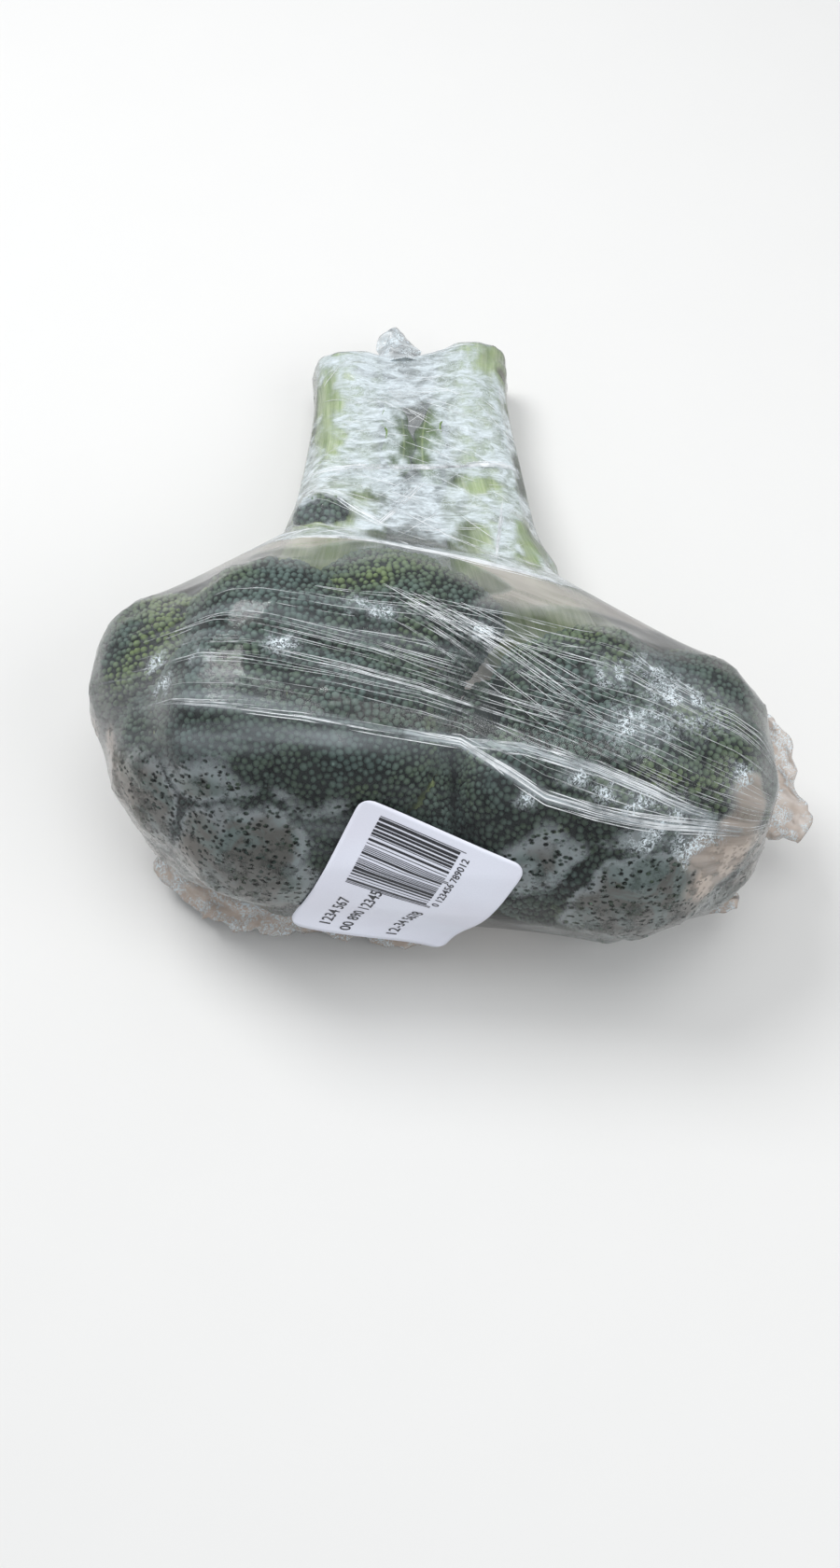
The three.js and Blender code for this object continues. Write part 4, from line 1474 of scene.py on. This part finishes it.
class LabelPlane:
    """The label's own flat coordinates, and where they lie on the wrap."""

    STEPS = 41
    LIFT = 0.45 * MM  # from the film to the paper's back

    def __init__(self, film, s):
        out = unit(LABEL_FACING)
        up = unit(np.array([0, 0, 1]) - out * out[2])
        right = np.cross(up, out)
        c, d = math.cos(s.turn), math.sin(s.turn)
        self.u = np.linspace(-s.width / 2, s.width / 2, self.STEPS)
        self.v = np.linspace(-s.length / 2, s.length / 2, self.STEPS)
        u, v = np.meshgrid(self.u, self.v, indexing="ij")
        across, upward = c * right + d * up, -d * right + c * up
        flat = LABEL_MIDDLE + u[..., None] * across + v[..., None] * upward
        at, _, missed = cast(tree_of([film]), flat + out * 80 * MM, np.broadcast_to(-out, flat.shape))
        depth = (at - flat) @ out
        wrap = np.where(missed, depth[~missed].min(), depth)
        depth = wrap
        for _ in range(160):  # the paper bridges the hollows, as a drawn sheet does
            pad = np.pad(depth, 1, mode="edge")
            depth = np.maximum((pad[:-2, 1:-1] + pad[2:, 1:-1] + pad[1:-1, :-2] + pad[1:-1, 2:]) / 4, wrap)
        self.at = flat + out * (depth[..., None] + self.LIFT)
        du, dv = np.gradient(self.at, axis=0), np.gradient(self.at, axis=1)
        normal = unit(np.cross(du, dv))
        self.normal = normal * np.sign(normal @ out)[..., None]

    def place(self, u, v, lift):
        """Points in the label's coordinates as points in space, lifted off its face."""
        i = np.clip((u - self.u[0]) / (self.u[1] - self.u[0]), 0, self.STEPS - 1.001)
        j = np.clip((v - self.v[0]) / (self.v[1] - self.v[0]), 0, self.STEPS - 1.001)
        a, b = i.astype(int), j.astype(int)
        fa, fb = (i - a)[:, None], (j - b)[:, None]

        def blend(grid):
            low = grid[a, b] * (1 - fb) + grid[a, b + 1] * fb
            high = grid[a + 1, b] * (1 - fb) + grid[a + 1, b + 1] * fb
            return low * (1 - fa) + high * fa

        return blend(self.at) + unit(blend(self.normal)) * lift


def label_sheet(plane, s):
    """The label's paper, with rounded corners."""
    n = plane.STEPS
    u, v = np.meshgrid(plane.u, plane.v, indexing="ij")
    iu, iv = s.width / 2 - s.corner, s.length / 2 - s.corner
    du, dv = np.maximum(np.abs(u) - iu, 0), np.maximum(np.abs(v) - iv, 0)
    reach = np.hypot(du, dv)
    pull = np.where(reach > s.corner, s.corner / np.maximum(reach, 1e-9), 1)
    u = np.where(reach > s.corner, np.sign(u) * (iu + du * pull), u)
    v = np.where(reach > s.corner, np.sign(v) * (iv + dv * pull), v)
    co = plane.place(u.ravel(), v.ravel(), 0.0)
    quads = grid_faces(n, n)[:, [0, 3, 2, 1]]  # turned round, so that they face out
    ob = mesh_object("price_label_paper", co, quads.ravel(), np.full(len(quads), 4))
    thicken(ob, 0.22 * MM, 1)
    return ob


def label_bars(s, rng):
    """Bars of random widths across the label, as strips in its own coordinates."""
    parts, faces, base = [], [], 0
    near, far, longer = -18 * MM, 6.5 * MM, 1.5 * MM
    at = 0
    t = np.linspace(0, 1, 25)
    while at < BAR_UNITS:
        guard = at < 3 or at > 91 or 44 < at < 50  # the longer bars at both ends and in the middle
        wide = 1 if guard else int(rng.choice([1, 1, 2, 3, 4]))
        bottom = at * s.bar
        end = far + (longer if guard else 0)
        u = np.concatenate([near + (end - near) * t] * 2)
        v = np.repeat([bottom, bottom + (wide - 0.1) * s.bar], len(t))
        parts.append(np.stack([u, v], 1))
        k = np.arange(len(t) - 1)
        faces.append(np.stack([k, k + 1, k + len(t) + 1, k + len(t)], 1) + base)
        base += 2 * len(t)
        at += wide + (1 if guard else int(rng.choice([1, 1, 2, 3])))
    return np.concatenate(parts), np.concatenate(faces)


def label_figures(body, size, u, v):
    """A line of figures that reads along the label's length, in its own coordinates."""
    curve = bpy.data.curves.new("figures", "FONT")
    curve.body = body
    curve.size = size
    curve.resolution_u = 3
    curve.offset = 0.012 * size
    ob = bpy.data.objects.new("figures", curve)
    bpy.context.scene.collection.objects.link(ob)
    only(ob)
    bpy.ops.object.convert(target="MESH")
    ob = bpy.context.object
    flat, tris = coords(ob), triangles(ob)
    bpy.data.objects.remove(ob)
    return np.stack([u - flat[:, 1], v + flat[:, 0]], 1), tris


def label_print(plane, s, rng):
    """Bars and figures as one thin mesh that follows the paper."""
    bars, quads = label_bars(s, rng)
    loops, sizes, parts = [quads.ravel()], [np.full(len(quads), 4)], [bars]
    base = len(bars)
    for body, size, u, v in FIGURES:
        flat, tris = label_figures(body, size * MM, u * MM, v * MM)
        parts.append(flat)
        loops.append(tris.ravel() + base)
        sizes.append(np.full(len(tris), 3))
        base += len(flat)
    flat = np.concatenate(parts)
    co = plane.place(flat[:, 0], flat[:, 1], 0.3 * MM)
    ob = mesh_object("price_label_print", co, np.concatenate(loops), np.concatenate(sizes))
    edit_all(ob, bpy.ops.mesh.normals_make_consistent, inside=False)
    return ob


class BROCCOLI_OT_label(bpy.types.Operator):
    """Stick the price label on the film over the crowns, with its bars and figures"""

    bl_idname = "broccoli.label"
    bl_label = "Label"

    def execute(self, context):
        s = context.scene.broccoli_label
        plane = LabelPlane(made["film"], s)
        finish_piece(label_sheet(plane, s), label_material(s), "label_paper", "price_label")
        ink = label_print(plane, s, np.random.default_rng(5))
        finish_piece(ink, ink_material(s), "label_paper", "price_label")
        return {"FINISHED"}


# ---- Stage -----------------------------------------------------------------------------------------


class StageSettings(bpy.types.PropertyGroup):
    elevation: FloatProperty(
        name="Elevation", description="How far the camera looks down", default=math.radians(65),
        unit="ROTATION",
    )
    distance: FloatProperty(
        name="Distance", description="Camera to what it looks at", default=0.485, unit="LENGTH"
    )
    lens: FloatProperty(name="Lens", description="Focal length", default=35.0, unit="CAMERA")
    floor: FloatVectorProperty(
        name="Floor", description="The pale floor", subtype="COLOR", default=(0.80, 0.80, 0.79)
    )


# The studio lamps: name, place, width in metres and power in watts.
LAMPS = (
    ("key", (-0.45, 0.35, 0.95), 0.5, 6),
    ("fill", (0.7, -0.45, 0.8), 0.8, 3),
    ("top", (0.1, 0.0, 1.3), 0.7, 4),
)
LAMP_TARGET = Vector((0, -0.04, 0.04))
AIM_FROM_MIDDLE = Vector((-9, -64.2, -26.5)) * MM  # from the CAD box's middle to what the camera looks at


def add_lamp(name, place, size, power):
    """A soft round lamp that shines on the pack."""
    data = bpy.data.lights.new(name, "AREA")
    data.shape = "DISK"
    data.size = size
    data.energy = power
    lamp = bpy.data.objects.new(name, data)
    lamp.location = place
    lamp.rotation_euler = (LAMP_TARGET - Vector(place)).to_track_quat("-Z", "Y").to_euler()
    bpy.context.scene.collection.objects.link(lamp)


class BROCCOLI_OT_stage(bpy.types.Operator):
    """Set the floor, the soft studio lamps and the camera"""

    bl_idname = "broccoli.stage"
    bl_label = "Stage"

    def execute(self, context):
        s = context.scene.broccoli_stage
        scene = context.scene
        bpy.ops.object.select_all(action="DESELECT")
        bpy.ops.mesh.primitive_plane_add(size=6, location=(0, 0, 0))
        floor = context.object
        floor.name = "floor"
        n = Nodes("pale floor")
        grain = n.noise(n.objects(), 30, 4)
        tone = n.mix(n.range(grain, 0.3, 0.7, 0.0, 0.04), rgba(s.floor), (0.7, 0.7, 0.69, 1))
        floor.data.materials.append(n.finish(n.surface(tone, 0.8)))

        world = bpy.data.worlds.new("studio")
        world.use_nodes = True
        world.node_tree.nodes["Background"].inputs[0].default_value = (0.95, 0.97, 1.0, 1)
        world.node_tree.nodes["Background"].inputs[1].default_value = 0.45
        scene.world = world
        for lamp in LAMPS:
            add_lamp(*lamp)

        aim = (CAD_LOW + CAD_HIGH) / 2 + AIM_FROM_MIDDLE
        data = bpy.data.cameras.new("camera")
        data.lens = s.lens
        data.sensor_width = 36
        camera = bpy.data.objects.new("camera", data)
        away = Vector((0, -math.cos(s.elevation), math.sin(s.elevation)))
        camera.location = aim + away * s.distance
        camera.rotation_euler = (math.pi / 2 - s.elevation, 0, 0)
        scene.collection.objects.link(camera)
        scene.camera = camera
        scene.view_settings.view_transform = "Standard"
        return {"FINISHED"}


# ---- Add-on ----------------------------------------------------------------------------------------

GROUPS = {
    "broccoli_florets": FloretSettings,
    "broccoli_stalks": StalkSettings,
    "broccoli_film": FilmSettings,
    "broccoli_label": LabelSettings,
    "broccoli_stage": StageSettings,
}
OPERATORS = (
    BROCCOLI_OT_stage,
    BROCCOLI_OT_florets,
    BROCCOLI_OT_stalks,
    BROCCOLI_OT_leaves,
    BROCCOLI_OT_film,
    BROCCOLI_OT_label,
)


class BROCCOLI_PT_panel(bpy.types.Panel):
    """Lists the steps that build the wrapped broccoli"""

    bl_idname = "BROCCOLI_PT_panel"
    bl_label = "Wrapped Broccoli"
    bl_space_type = "VIEW_3D"
    bl_region_type = "UI"
    bl_category = "Broccoli"

    def draw(self, context):
        for operator in OPERATORS:
            self.layout.operator(operator.bl_idname)
        for name, group in GROUPS.items():
            box = self.layout.box()
            for field in group.__annotations__:
                box.prop(getattr(context.scene, name), field)


def register():
    for cls in (*GROUPS.values(), *OPERATORS, BROCCOLI_PT_panel):
        bpy.utils.register_class(cls)
    for name, group in GROUPS.items():
        setattr(bpy.types.Scene, name, PointerProperty(type=group))


def unregister():
    for name in GROUPS:
        delattr(bpy.types.Scene, name)
    for cls in reversed((*GROUPS.values(), *OPERATORS, BROCCOLI_PT_panel)):
        bpy.utils.unregister_class(cls)


def main():
    register()
    bpy.ops.broccoli.stage()
    bpy.ops.broccoli.florets()
    bpy.ops.broccoli.stalks()
    bpy.ops.broccoli.leaves()
    bpy.ops.broccoli.film()
    bpy.ops.broccoli.label()


if __name__ == "__main__":
    main()
